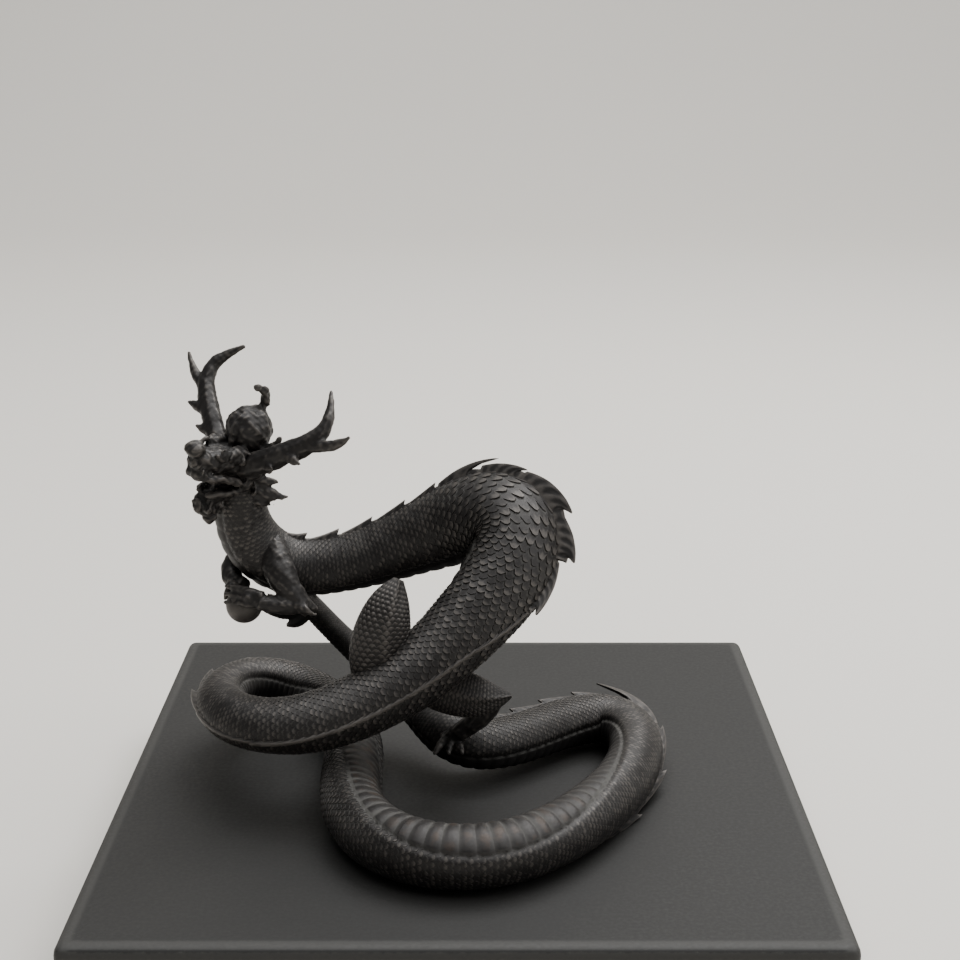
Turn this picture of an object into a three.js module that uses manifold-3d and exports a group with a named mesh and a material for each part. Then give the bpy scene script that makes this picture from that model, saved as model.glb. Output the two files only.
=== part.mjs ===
// A small cast bronze dragon coiled on a square wooden plinth.
// Millimetres, +Z up. The origin is the middle of the plinth's underside.
// Heights in the tables below are measured from the plinth's top, where the dragon lies.
import * as THREE from 'three';
import { mergeVertices } from 'three/addons/utils/BufferGeometryUtils.js';
import Module from 'manifold-3d';

const wasm = await Module();
wasm.setup();

// ---- Driving dimensions ----
const PLINTH = { side: 160, height: 28, corner: 3, edge: 1.6 };
const REST_GAP = 0.1;
const BODY_SIDES = 11;
const BODY_STEPS = 2;
const BODY_KEEL = 0.08;
const BODY_BELLY = 0.9;
const BEND_LIMIT = 0.9;
const FIN = { root: 1.6, halfRoot: 1.1, halfTip: 0.3 };
const BALL = { at: [-49.9, -8.6, 45.0], radius: 4.2 };
const HEAD = { at: [-50.1, -6, 78], yaw: -130, pitch: -7, roll: -12 };

// ---- The body's route, head to tail: [x, y, height, half thickness] and the way the back faces ----
const NECK = [
  [[-49.0, -3.0, 81.0, 4.6], [1, 0.1, 0.3]],
  [[-50.8, -4.0, 74.0, 5.3], [1, 0.1, 0.3]],
  [[-51.2, -4.0, 66.5, 6.0], [1, 0, 0.4]],
  [[-49.5, -2.0, 57.5, 6.9], [0.8, 0, 0.7]],
  [[-41.5, 1.0, 49.9, 6.9], [0.4, 0.05, 1]],
];
const UPPER_BODY = [
  [[-31.0, 3.2, 49.6, 6.4], [0.1, 0.1, 1]],
  [[-21.0, 5.0, 51.6, 7.0], [-0.1, 0.15, 1]],
  [[-11.5, 6.2, 54.9, 8.0], [-0.2, 0.15, 1]],
  [[-3.0, 6.0, 58.3, 9.2], [-0.1, 0.15, 1]],
];
const ARCH = [
  [[4.6, 4.4, 62.2, 10.2], [0.2, 0.15, 1]],
  [[11.6, 0.8, 61.6, 10.6], [0.8, 0.1, 0.8]],
  [[12.0, -3.6, 55.8, 10.5], [1, -0.15, 0.1]],
  [[8.6, -7.6, 49.8, 9.9], [0.85, -0.5, -0.25]],
];
const DIAGONAL = [
  [[3.6, -11.2, 44.0, 9.2], [0.5, -0.8, -0.3]],
  [[-2.6, -14.6, 37.6, 8.3], [0.3, -0.95, -0.05]],
  [[-11.5, -17.8, 30.6, 7.8], [0.2, -1, 0]],
  [[-22.0, -20.4, 25.2, 7.4], [0.1, -1, 0]],
  [[-32.5, -22.4, 21.6, 6.8], [0, -1, -0.05]],
];
const HIGH_LOOP = [
  [[-43.0, -21.4, 20.2, 6.2], [-0.1, -0.95, -0.25]],
  [[-52.5, -15.0, 19.2, 5.9], [-0.6, -0.75, -0.1]],
  [[-57.8, -2.6, 17.6, 5.8], [-1, -0.1, 0.1]],
  [[-57.6, 12.0, 15.6, 5.7], [-0.9, 0.5, 0.25]],
  [[-52.0, 23.0, 12.8, 5.7], [-0.3, 0.9, 0.35]],
  [[-43.0, 26.4, 9.6, 5.8], [0.35, 0.85, 0.3]],
  [[-34.5, 21.5, 7.2, 6.1], [0.8, 0.6, -0.1]],
];
const CROSSING = [
  [[-28.6, 10.5, 6.7, 6.4], [0.8, 0.1, -0.7]],
  [[-25.3, -4.0, 6.8, 6.8], [0.1, 0, -1]],
  [[-25.2, -19.0, 6.9, 7.0], [-0.6, 0, -0.8]],
];
const LOW_COIL = [
  [[-24.4, -34.0, 7.0, 7.1], [-0.7, -0.15, -0.75]],
  [[-17.6, -48.5, 7.0, 7.0], [-0.45, -0.4, -0.85]],
  [[-5.0, -56.3, 6.9, 6.9], [-0.15, -0.5, -0.9]],
  [[9.5, -55.4, 6.8, 6.8], [0.15, -0.5, -0.9]],
  [[22.0, -45.6, 6.7, 6.7], [0.4, -0.4, -0.85]],
  [[32.5, -31.0, 6.5, 6.5], [0.65, -0.25, -0.7]],
  [[40.5, -14.0, 6.3, 6.3], [0.9, 0, -0.35]],
  [[43.0, 4.5, 6.2, 6.2], [0.9, 0.45, 0.15]],
  [[37.0, 14.5, 6.2, 6.1], [0.3, 0.85, 0.5]],
  [[26.5, 10.6, 6.4, 6.0], [-0.2, 0.8, 0.7]],
  [[15.5, 0.2, 6.8, 5.9], [-0.3, 0.7, 0.8]],
  [[5.0, -7.0, 7.6, 5.8], [-0.2, 0.6, 0.9]],
];
const TAIL = [
  [[-4.2, -5.4, 9.6, 5.4], [0.2, 0.5, 0.9]],
  [[-10.5, 5.5, 13.6, 5.0], [0.5, 0.5, 0.7]],
  [[-19.5, 14.2, 17.6, 4.2], [0.6, 0.4, 0.7]],
  [[-28.2, 17.8, 23.9, 2.8], [0.7, 0.3, 0.6]],
  [[-35.0, 17.4, 31.6, 2.9], [0.7, 0.3, 0.6]],
  [[-40.2, 15.6, 39.0, 2.5], [0.7, 0.3, 0.6]],
];
const ROUTE = [...NECK, ...UPPER_BODY, ...ARCH, ...DIAGONAL, ...HIGH_LOOP, ...CROSSING, ...LOW_COIL, ...TAIL];

// ---- The fin along the back, in spans of the route: teeth, ridge height and tooth height ----
const FIN_STRETCHES = [
  { from: 3.4, to: 5.4, teeth: 2, ridge: 0.2, tooth: 1.7 },
  { from: 5.4, to: 8.2, teeth: 3, ridge: 0.4, tooth: 1.5 },
  { from: 8.2, to: 9.1, teeth: 1, ridge: 0.9, tooth: 3.7 },
  { from: 9.1, to: 9.7, teeth: 1, ridge: 1.8, tooth: 2.8 },
  { from: 9.7, to: 11.0, teeth: 2, ridge: 2.4, tooth: 4.4 },
  { from: 11.0, to: 12.2, teeth: 1, ridge: 0.9, tooth: 2.4 },
  { from: 12.2, to: 19.6, teeth: 5, ridge: 0.5, tooth: 0.8 },
  { from: 19.6, to: 24.6, teeth: 6, ridge: 0.5, tooth: 2.0 },
  { from: 32.6, to: 35.1, teeth: 3, ridge: 0.5, tooth: 1.6 },
  { from: 35.1, to: 36.0, teeth: 1, ridge: 0.8, tooth: 4.2 },
  { from: 36.0, to: 38.8, teeth: 4, ridge: 0.5, tooth: 1.6 },
  { from: 38.8, to: 41.6, teeth: 3, ridge: 0.3, tooth: 0.9 },
];

// ---- Small vector and spline helpers ----
const vec = ([x, y, z]) => new THREE.Vector3(x, y, z);
const mix = (a, b, share) => a + (b - a) * share;

// A smooth cubic spline that follows rows of numbers, clamped to the first and last row.
function splineAt(rows, span) {
  const start = Math.min(Math.floor(span), rows.length - 2);
  const t = span - start;
  const weights = [
    (1 - t) ** 3 / 6,
    (3 * t ** 3 - 6 * t ** 2 + 4) / 6,
    (-3 * t ** 3 + 3 * t ** 2 + 3 * t + 1) / 6,
    t ** 3 / 6,
  ];
  const row = (index) => {
    if (index < 0) return rows[0].map((value, k) => 2 * value - rows[1][k]);
    if (index < rows.length) return rows[index];
    return rows[rows.length - 1].map((value, k) => 2 * value - rows[rows.length - 2][k]);
  };
  return rows[0].map((_, k) => weights.reduce((sum, w, j) => sum + w * row(start - 1 + j)[k], 0));
}

// ---- Closed meshes and solids ----
// A skin over rings of points that all have the same count, closed by a fan at each end.
function loft(rings) {
  const count = rings[0].length;
  const points = rings.flat();
  const faces = [];
  for (let ring = 0; ring < rings.length - 1; ring += 1) {
    for (let k = 0; k < count; k += 1) {
      const a = ring * count + k;
      const b = ring * count + ((k + 1) % count);
      faces.push(a, b, b + count, a, b + count, a + count);
    }
  }
  const closeEnd = (ring, flip) => {
    const middle = new THREE.Vector3();
    rings[ring].forEach((p) => middle.addScaledVector(p, 1 / count));
    points.push(middle);
    for (let k = 0; k < count; k += 1) {
      const a = ring * count + k;
      const b = ring * count + ((k + 1) % count);
      faces.push(points.length - 1, flip ? a : b, flip ? b : a);
    }
  };
  closeEnd(0, false);
  closeEnd(rings.length - 1, true);
  const geometry = new THREE.BufferGeometry().setFromPoints(points);
  geometry.setIndex(faces);
  return geometry;
}

// Turns a closed geometry into a solid, with its faces outwards whichever way it was wound.
function solid(geometry) {
  const bare = geometry.clone();
  bare.deleteAttribute('normal');
  bare.deleteAttribute('uv');
  const merged = mergeVertices(bare, 1e-4);
  const corners = merged.attributes.position.array;
  const faces = Uint32Array.from(merged.index.array);
  const corner = (k) => new THREE.Vector3().fromArray(corners, 3 * faces[k]);
  let volume = 0;
  for (let k = 0; k < faces.length; k += 3) {
    volume += corner(k).dot(corner(k + 1).cross(corner(k + 2)));
  }
  if (volume < 0) {
    for (let k = 0; k < faces.length; k += 3) {
      [faces[k], faces[k + 1]] = [faces[k + 1], faces[k]];
    }
  }
  const mesh = new wasm.Mesh({ numProp: 3, vertProperties: Float32Array.from(corners), triVerts: faces });
  return new wasm.Manifold(mesh);
}

const joined = (solids) => solids.reduce((whole, piece) => whole.add(piece));

// Forms that cross can trap a bubble between them: only the outer skin is kept.
function outerSkin(shape) {
  const [skin, next] = shape.decompose().sort((a, b) => b.volume() - a.volume());
  if (next && next.volume() > 0.01) throw new Error('a form of the dragon hangs loose');
  return skin;
}

function geometryOf(shape) {
  const mesh = shape.getMesh();
  const geometry = new THREE.BufferGeometry();
  geometry.setAttribute('position', new THREE.BufferAttribute(new Float32Array(mesh.vertProperties), 3));
  geometry.setIndex(new THREE.BufferAttribute(new Uint32Array(mesh.triVerts), 1));
  return geometry;
}

// A rounded or flattened horn, limb or blade through a few points: [x, y, z, half width].
function limb(points, { sides = 7, steps = 2, flat = 1, facing = [0, 0, 1] } = {}) {
  const rings = [];
  const spans = points.length - 1;
  for (let k = 0; k <= spans * steps; k += 1) {
    const [x, y, z, width] = splineAt(points, k / steps);
    const ahead = splineAt(points, Math.min(k / steps + 0.05, spans));
    const behind = splineAt(points, Math.max(k / steps - 0.05, 0));
    const along = vec(ahead).sub(vec(behind)).normalize();
    const thin = vec(facing).addScaledVector(along, -vec(facing).dot(along)).normalize();
    const wide = new THREE.Vector3().crossVectors(along, thin);
    const ring = [];
    for (let side = 0; side < sides; side += 1) {
      const angle = (2 * Math.PI * side) / sides;
      ring.push(new THREE.Vector3(x, y, z)
        .addScaledVector(wide, width * Math.cos(angle))
        .addScaledVector(thin, width * flat * Math.sin(angle)));
    }
    rings.push(ring);
  }
  return solid(loft(rings));
}

function lump([x, y, z], [a, b, c], detail = 8) {
  const geometry = new THREE.SphereGeometry(1, detail, Math.ceil(detail * 0.6));
  geometry.rotateX(Math.PI / 2);
  geometry.scale(a, b, c);
  geometry.translate(x, y, z);
  return solid(geometry);
}

// ---- The body ----
// Everything about one place on the body: its middle, its axes and its half thickness.
function stationAt(span) {
  const rows = ROUTE.map(([place, back]) => [...place, ...vec(back).normalize().toArray()]);
  const [x, y, z, radius, bx, by, bz] = splineAt(rows, span);
  const at = new THREE.Vector3(x, y, z);
  const ahead = vec(splineAt(rows, span + 0.35)).sub(at);
  const behind = at.clone().sub(vec(splineAt(rows, span - 0.35)));
  const along = ahead.clone().add(behind).normalize();
  const bend = ahead.clone().normalize().sub(behind.clone().normalize());
  bend.multiplyScalar(2 / (ahead.length() + behind.length()));
  const back = new THREE.Vector3(bx, by, bz);
  back.addScaledVector(along, -back.dot(along)).normalize();
  const side = new THREE.Vector3().crossVectors(along, back);
  return { at, along, back, side, bend, radius };
}

// The skin's distance from the middle: a keel at the back, a flatter belly,
// and no further into a bend than the bend's own centre allows.
function skinRadius(station, angle, direction) {
  const keel = 1 + BODY_KEEL * Math.max(0, Math.cos(angle)) ** 6;
  const belly = angle > 0.7 * Math.PI && angle < 1.3 * Math.PI ? BODY_BELLY : 1;
  const inward = station.bend.dot(direction);
  const limit = inward > 0 ? BEND_LIMIT / inward : Infinity;
  return Math.min(station.radius * keel * belly, limit);
}

function bodyRing(span) {
  const station = stationAt(span);
  const ring = [];
  for (let k = 0; k < BODY_SIDES; k += 1) {
    const angle = (2 * Math.PI * k) / BODY_SIDES;
    const direction = station.back.clone().multiplyScalar(Math.cos(angle));
    direction.addScaledVector(station.side, Math.sin(angle));
    ring.push(station.at.clone().addScaledVector(direction, skinRadius(station, angle, direction)));
  }
  return ring;
}

// The body crosses over itself, so it is made as overlapping stretches and joined.
function body() {
  const stretchEnds = [0, 9, 18, 25, 33, 39, ROUTE.length - 1];
  const pieces = [];
  for (let k = 0; k < stretchEnds.length - 1; k += 1) {
    const rings = [];
    for (let step = stretchEnds[k] * BODY_STEPS; step <= stretchEnds[k + 1] * BODY_STEPS; step += 1) {
      rings.push(bodyRing(step / BODY_STEPS));
    }
    pieces.push(solid(loft(rings)));
  }
  return joined(pieces);
}

// ---- The fin: a thin crest whose teeth lean towards the tail ----
function finStretch({ from, to, teeth, ridge, tooth }) {
  const profile = [
    [0.00, 0.06, 0.0],
    [0.66, 0.98, 1.0],
    [0.86, 0.90, 0.1],
  ];
  const rings = [];
  const addRing = (foot, tip, height) => {
    const low = stationAt(foot);
    const high = stationAt(tip);
    const base = low.radius * (1 + BODY_KEEL) - FIN.root;
    const apex = high.at.clone().addScaledVector(high.back, high.radius * (1 + BODY_KEEL) + height);
    const left = low.at.clone().addScaledVector(low.back, base).addScaledVector(low.side, FIN.halfRoot);
    const right = low.at.clone().addScaledVector(low.back, base).addScaledVector(low.side, -FIN.halfRoot);
    const tipSide = high.side.clone().multiplyScalar(FIN.halfTip);
    rings.push([left, apex.clone().add(tipSide), apex.clone().sub(tipSide), right]);
  };
  const pitch = (to - from) / teeth;
  for (let k = 0; k < teeth; k += 1) {
    for (const [foot, tip, rise] of profile) {
      addRing(from + (k + foot) * pitch, from + (k + tip) * pitch, mix(ridge, tooth, rise));
    }
  }
  addRing(to, to, ridge);
  return solid(loft(rings));
}

// ---- Legs ----
function hindLegs() {
  const nearThigh = limb([
    [-17, -14.5, 27, 6.8], [-18.6, -17, 36, 7.4], [-17.4, -17.4, 43.6, 6.4], [-15.4, -16, 50, 4.4],
    [-13.8, -15, 53.6, 1.2],
  ], { sides: 9, steps: 2, flat: 0.6, facing: [0.3, -1, 0.2] });
  const nearShin = limb([
    [-15.5, -13, 49, 1.6], [-20.5, -12, 42.5, 2.7], [-23, -12, 35, 2.4], [-22, -12, 28, 2.2],
  ], { sides: 7, steps: 2 });
  const farThigh = limb([
    [-6, -13, 27, 5.5], [0.5, -14.5, 25.2, 5.6], [5.5, -15, 24.6, 4.4], [9.5, -15, 24.8, 2.2],
    [11.8, -15, 25.2, 0.5],
  ], { sides: 9, steps: 2, flat: 0.7, facing: [0, -1, 0.3] });
  const farShin = limb([
    [9, -14.5, 24, 1.4], [5.5, -14, 19.5, 2.4], [0, -12.5, 15, 2.3], [-3.5, -10.5, 11.5, 2],
  ], { sides: 7, steps: 2 });
  const toes = [-2.2, 0, 2.2].map((spread) => limb([
    [-2, -10.5, 13, 1.3], [-2.6 + spread, -13.5, 12.6, 1.2], [-2.8 + 1.5 * spread, -16, 10.6, 0.35],
  ], { sides: 5, steps: 1 }));
  return [nearThigh, nearShin, farThigh, farShin, ...toes];
}

function frontLegs() {
  const nearArm = limb([
    [-43, -4.5, 56.5, 4.4], [-41.8, -8.5, 53.5, 4.2], [-39.4, -10.5, 49.5, 3], [-36.4, -10.2, 45.8, 2.4],
    [-33.2, -8.8, 44, 0.6],
  ], { sides: 7, steps: 2 });
  const nearForearm = limb([
    [-36, -10, 46, 2.2], [-39.6, -11.6, 45.8, 2.3], [-43, -12.4, 46.6, 1.9], [-46, -12.6, 47, 1.8],
  ], { sides: 7, steps: 2 });
  const nearFingers = [0, 1, 2].map((k) => limb([
    [-45, -12.4, 46.8 + 0.8 * k, 1.3],
    [-49.5, -12.6 + 0.6 * k, 46.9 + 1.4 * k, 1.1],
    [-54.3, -9.8 + k, 46.2 + 1.6 * k, 0.45],
  ], { sides: 5, steps: 1 }));
  const farArm = limb([
    [-49, 2.5, 54, 3.8], [-53, 2.6, 52.2, 3.1], [-54.4, 0.2, 49.6, 2.4], [-52.5, -3.6, 48.6, 2.2],
    [-50, -6, 49, 1.8],
  ], { sides: 7, steps: 2 });
  const farFingers = [0, 1, 2].map((k) => limb([
    [-51.4, -4.8, 49, 1.3],
    [-53.8, -6.2 + 1.2 * k, 48.4, 1.1],
    [-54.6, -7.2 + 1.8 * k, 45.6 - 0.4 * k, 0.4],
  ], { sides: 5, steps: 1 }));
  const ball = lump(BALL.at, [BALL.radius, BALL.radius, BALL.radius], 10);
  return [nearArm, nearForearm, ...nearFingers, farArm, ...farFingers, ball];
}

// ---- Head, in its own frame: x to the nose, y to the dragon's left, z to the crown ----
function antler(side) {
  const horn = (points, steps = 1) => {
    const mirrored = points.map(([x, y, z, r]) => [x, side * y, z, r]);
    return limb(mirrored, { sides: 6, steps, flat: 0.8, facing: [1, 0, 0] });
  };
  return [
    horn([[2, 2.5, 0.5, 2.6], [1.4, 7.2, 3.2, 2.7], [-0.4, 13, 8, 2.6], [-2.4, 18.8, 12.4, 2.3],
      [-4.8, 20, 17.6, 1.7], [-8.8, 14.6, 22.8, 0.5]], 2),
    horn([[-1.6, 16.5, 11, 1.8], [-2.6, 21.4, 12.8, 1.4], [-3.4, 25, 14.2, 1.1], [-3.8, 27.4, 17.2, 0.4]], 2),
    horn([[-0.2, 13.4, 8, 1.8], [0.6, 17.2, 7.8, 1.1], [1, 19.4, 8, 0.3]]),
    horn([[1, 8.5, 4.4, 1.6], [2.2, 11.6, 4.2, 1], [2.8, 13.4, 4.6, 0.3]]),
  ];
}

function skull() {
  return [
    lump([-0.5, 0, 0.6], [6.4, 5.4, 5.2], 8),
    limb([[0, 0, 1.4, 4.6], [5, 0, 1.6, 4.2], [9.5, 0, 2, 3.6], [13.6, 0, 2.6, 2.6]],
      { sides: 8, flat: 0.8, facing: [0, 0, 1] }),
    lump([14, 0, 5], [2.2, 2.4, 2], 7),
    lump([11.6, 0, -0.6], [2.4, 3.4, 1.8], 6),
    limb([[-1, 0, -4.6, 3.8], [3.2, 0, -6, 3.3], [6.8, 0, -7, 2.8], [9, 0, -7, 1.7]],
      { sides: 8, flat: 0.55, facing: [0, 0, 1] }),
    ...[-1, 1].map((side) => lump([4.6, 3.6 * side, 4.2], [3, 1.8, 2], 6)),
    ...[-1, 1].map((side) => lump([0, 5 * side, 1], [3, 2, 2.8], 6)),
  ];
}

function crownKnob() {
  const curl = limb([[-3, 0, 12.6, 1.2], [-4, 0.4, 15, 1.1], [-3, 0.8, 18, 1.1], [0.4, 0.8, 19, 0.7]], { sides: 6 });
  const seam = limb([[4, 0.4, 5, 0.8], [4.4, 0.4, 9.6, 0.9], [1.6, 0.3, 13.2, 0.9], [-2.6, 0.2, 13.6, 0.9]],
    { sides: 5 });
  return [lump([-0.9, 0, 8.6], [5.2, 5.4, 5.4], 9), seam, curl];
}

function beardAndMane() {
  const beard = [
    lump([7.6, 0, -9.4], [2.5, 2.7, 2.2], 7),
    lump([5.8, 0, -12.2], [1.6, 1.6, 1.7], 6),
  ];
  const locks = [];
  for (const side of [-1, 1]) {
    for (let k = 0; k < 4; k += 1) {
      const drop = 2.4 * k;
      locks.push(limb([
        [-1.4, 4.4 * side, 1 - drop, 2],
        [-4.6, 6.6 * side, -0.6 - drop, 1.7],
        [-7.6 + 0.8 * k, (8.4 - 0.6 * k) * side, -3.2 - drop, 0.4],
      ], { sides: 5, steps: 1, flat: 0.6, facing: [0, 1, 0] }));
    }
  }
  const ear = (side) => limb([[-1, 4.6 * side, 3.4, 1.5], [-3.4, 7 * side, 5.8, 1.2], [-5, 9 * side, 8.6, 0.4]],
    { sides: 5, steps: 1, flat: 0.6, facing: [1, 0, 0] });
  return [...beard, ...locks, ear(1), ear(-1)];
}

function head() {
  const turn = new THREE.Euler(
    THREE.MathUtils.degToRad(HEAD.roll),
    THREE.MathUtils.degToRad(HEAD.pitch),
    THREE.MathUtils.degToRad(HEAD.yaw),
    'ZYX',
  );
  const place = new THREE.Matrix4().makeRotationFromEuler(turn).setPosition(...HEAD.at);
  const whole = joined([...skull(), ...crownKnob(), ...beardAndMane(), ...antler(1), ...antler(-1)]);
  return solid(geometryOf(whole).applyMatrix4(place));
}

// ---- The tuft of flame-shaped blades at the tail's end ----
function tailTuft() {
  const root = [-37.6, 16.6, 34.6];
  const tips = [
    [-37.4, 16, 42.4],
    [-42.4, 14.6, 43],
    [-47.6, 13, 39.6],
    [-48.6, 12.4, 35.4],
    [-43.4, 14, 30.8],
  ];
  return tips.map((tip) => {
    const belly = [0, 1, 2].map((k) => mix(root[k], tip[k], 0.5) + [0, -0.6, -1.1][k]);
    return limb([[...root, 1.7], [...belly, 2.2], [...tip, 0.35]], { sides: 5, steps: 1, flat: 0.5, facing: [0, 1, 0] });
  });
}

// ---- The two pieces ----
function dragonGeometry() {
  const parts = [body(), ...FIN_STRETCHES.map(finStretch), ...hindLegs(), ...frontLegs(), head(), ...tailTuft()];
  const block = new THREE.BoxGeometry(2 * PLINTH.side, 2 * PLINTH.side, PLINTH.side);
  block.translate(0, 0, REST_GAP - PLINTH.side / 2);
  const trimmed = outerSkin(joined(parts).subtract(solid(block)));
  return geometryOf(trimmed).translate(0, 0, PLINTH.height);
}

function plinthGeometry() {
  const half = PLINTH.side / 2 - PLINTH.edge;
  const round = PLINTH.corner - PLINTH.edge;
  const outline = new THREE.Shape();
  const corners = [[1, -1], [1, 1], [-1, 1], [-1, -1]];
  corners.forEach(([sx, sy], k) => {
    const from = -Math.PI / 2 + (k * Math.PI) / 2;
    outline.absarc(sx * (half - round), sy * (half - round), round, from, from + Math.PI / 2);
  });
  outline.closePath();
  const geometry = new THREE.ExtrudeGeometry(outline, {
    depth: PLINTH.height - 2 * PLINTH.edge,
    bevelSize: PLINTH.edge,
    bevelThickness: PLINTH.edge,
    bevelSegments: 2,
    curveSegments: 2,
  });
  return geometry.translate(0, 0, PLINTH.edge);
}

const bronze = new THREE.MeshStandardMaterial({ color: 0x3a3531, roughness: 0.55, metalness: 0.7 });
const stainedWood = new THREE.MeshStandardMaterial({ color: 0x33312f, roughness: 0.8, metalness: 0 });

const dragon = new THREE.Mesh(dragonGeometry(), bronze);
dragon.name = 'dragon';

const plinth = new THREE.Mesh(plinthGeometry(), stainedWood);
plinth.name = 'plinth';

const sculpture = new THREE.Group();
sculpture.name = 'dragon_sculpture';
sculpture.add(plinth, dragon);

export default sculpture;
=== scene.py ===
import math

import bpy
import numpy as np
from mathutils import Euler, Matrix, Vector


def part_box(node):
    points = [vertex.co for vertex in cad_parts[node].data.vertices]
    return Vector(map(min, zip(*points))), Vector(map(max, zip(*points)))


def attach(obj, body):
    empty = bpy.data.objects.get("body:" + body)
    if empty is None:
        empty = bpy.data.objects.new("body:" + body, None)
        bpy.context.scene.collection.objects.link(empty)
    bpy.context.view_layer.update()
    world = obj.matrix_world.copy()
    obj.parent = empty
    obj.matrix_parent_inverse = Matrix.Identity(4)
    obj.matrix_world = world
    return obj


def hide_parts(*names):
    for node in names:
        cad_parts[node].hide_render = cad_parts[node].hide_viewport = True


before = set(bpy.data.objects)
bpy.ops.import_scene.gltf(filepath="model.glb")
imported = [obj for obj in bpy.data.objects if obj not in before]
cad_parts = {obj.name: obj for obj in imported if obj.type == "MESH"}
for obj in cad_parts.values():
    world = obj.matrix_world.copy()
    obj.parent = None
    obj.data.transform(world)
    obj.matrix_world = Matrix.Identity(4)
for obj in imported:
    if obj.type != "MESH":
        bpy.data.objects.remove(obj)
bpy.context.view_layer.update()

bl_info = {
    "name": "Coiled Bronze Dragon",
    "version": (1, 0, 0),
    "blender": (4, 5, 0),
    "location": "View3D > Sidebar > Dragon",
    "description": "Builds the scaled bronze dragon, its wooden plinth and a plain studio round them",
    "category": "Object",
}

# Sizes in the tables are millimetres, and heights are measured from the plinth's top.
MM = 0.001
PLINTH_LOW, PLINTH_HIGH = (Vector(corner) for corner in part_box("plinth"))
PLINTH_TOP = PLINTH_HIGH.z / MM
PLINTH_SIDE = (PLINTH_HIGH.x - PLINTH_LOW.x) / MM
REST_GAP = 0.1
SEED = 7

# ---- The body's route, head to tail: [x, y, height, half thickness] and the way the back faces ----
NECK = [
    [-49.0, -3.0, 81.0, 4.6, 1, 0.1, 0.3],
    [-50.8, -4.0, 74.0, 5.3, 1, 0.1, 0.3],
    [-51.2, -4.0, 66.5, 6.0, 1, 0, 0.4],
    [-49.5, -2.0, 57.5, 6.9, 0.8, 0, 0.7],
    [-41.5, 1.0, 49.9, 6.9, 0.4, 0.05, 1],
]
UPPER_BODY = [
    [-31.0, 3.2, 49.6, 6.4, 0.1, 0.1, 1],
    [-21.0, 5.0, 51.6, 7.0, -0.1, 0.15, 1],
    [-11.5, 6.2, 54.9, 8.0, -0.2, 0.15, 1],
    [-3.0, 6.0, 58.3, 9.2, -0.1, 0.15, 1],
]
ARCH = [
    [4.6, 4.4, 62.2, 10.2, 0.2, 0.15, 1],
    [11.6, 0.8, 61.6, 10.6, 0.8, 0.1, 0.8],
    [12.0, -3.6, 55.8, 10.5, 1, -0.15, 0.1],
    [8.6, -7.6, 49.8, 9.9, 0.85, -0.5, -0.25],
]
DIAGONAL = [
    [3.6, -11.2, 44.0, 9.2, 0.5, -0.8, -0.3],
    [-2.6, -14.6, 37.6, 8.3, 0.3, -0.95, -0.05],
    [-11.5, -17.8, 30.6, 7.8, 0.2, -1, 0],
    [-22.0, -20.4, 25.2, 7.4, 0.1, -1, 0],
    [-32.5, -22.4, 21.6, 6.8, 0, -1, -0.05],
]
HIGH_LOOP = [
    [-43.0, -21.4, 20.2, 6.2, -0.1, -0.95, -0.25],
    [-52.5, -15.0, 19.2, 5.9, -0.6, -0.75, -0.1],
    [-57.8, -2.6, 17.6, 5.8, -1, -0.1, 0.1],
    [-57.6, 12.0, 15.6, 5.7, -0.9, 0.5, 0.25],
    [-52.0, 23.0, 12.8, 5.7, -0.3, 0.9, 0.35],
    [-43.0, 26.4, 9.6, 5.8, 0.35, 0.85, 0.3],
    [-34.5, 21.5, 7.2, 6.1, 0.8, 0.6, -0.1],
]
CROSSING = [
    [-28.6, 10.5, 6.7, 6.4, 0.8, 0.1, -0.7],
    [-25.3, -4.0, 6.8, 6.8, 0.1, 0, -1],
    [-25.2, -19.0, 6.9, 7.0, -0.6, 0, -0.8],
]
LOW_COIL = [
    [-24.4, -34.0, 7.0, 7.1, -0.7, -0.15, -0.75],
    [-17.6, -48.5, 7.0, 7.0, -0.4, -0.1, -0.9],
    [-5.0, -56.3, 6.9, 6.9, -0.05, 0.2, -0.98],
    [9.5, -55.4, 6.8, 6.8, 0, 0.25, -0.97],
    [22.0, -45.6, 6.7, 6.7, 0.15, 0.1, -0.97],
    [32.5, -31.0, 6.5, 6.5, 0.6, -0.1, -0.8],
    [40.5, -14.0, 6.3, 6.3, 0.9, 0, -0.35],
    [43.0, 4.5, 6.2, 6.2, 0.9, 0.45, 0.15],
    [37.0, 14.5, 6.2, 6.1, 0.3, 0.85, 0.5],
    [26.5, 10.6, 6.4, 6.0, -0.2, 0.8, 0.7],
    [15.5, 0.2, 6.8, 5.9, -0.3, 0.7, 0.8],
    [5.0, -7.0, 7.6, 5.8, -0.2, 0.6, 0.9],
]
TAIL = [
    [-4.2, -5.4, 9.6, 5.4, 0.2, 0.5, 0.9],
    [-10.5, 5.5, 13.6, 5.0, 0.5, 0.5, 0.7],
    [-19.5, 14.2, 17.6, 4.2, 0.6, 0.4, 0.7],
    [-28.2, 17.8, 23.9, 2.8, 0.7, 0.3, 0.6],
    [-35.0, 17.4, 31.6, 2.9, 0.7, 0.3, 0.6],
    [-40.2, 15.6, 39.0, 2.5, 0.7, 0.3, 0.6],
]
BODY_ROUTE = NECK + UPPER_BODY + ARCH + DIAGONAL + HIGH_LOOP + CROSSING + LOW_COIL + TAIL
BODY_STRETCHES = {"upper": (0, 14.5), "loop": (14.5, 29.5), "coil": (29.5, 45)}
BODY_KEEL = 0.08
BODY_BELLY = 0.9
BEND_LIMIT = 0.9

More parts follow.
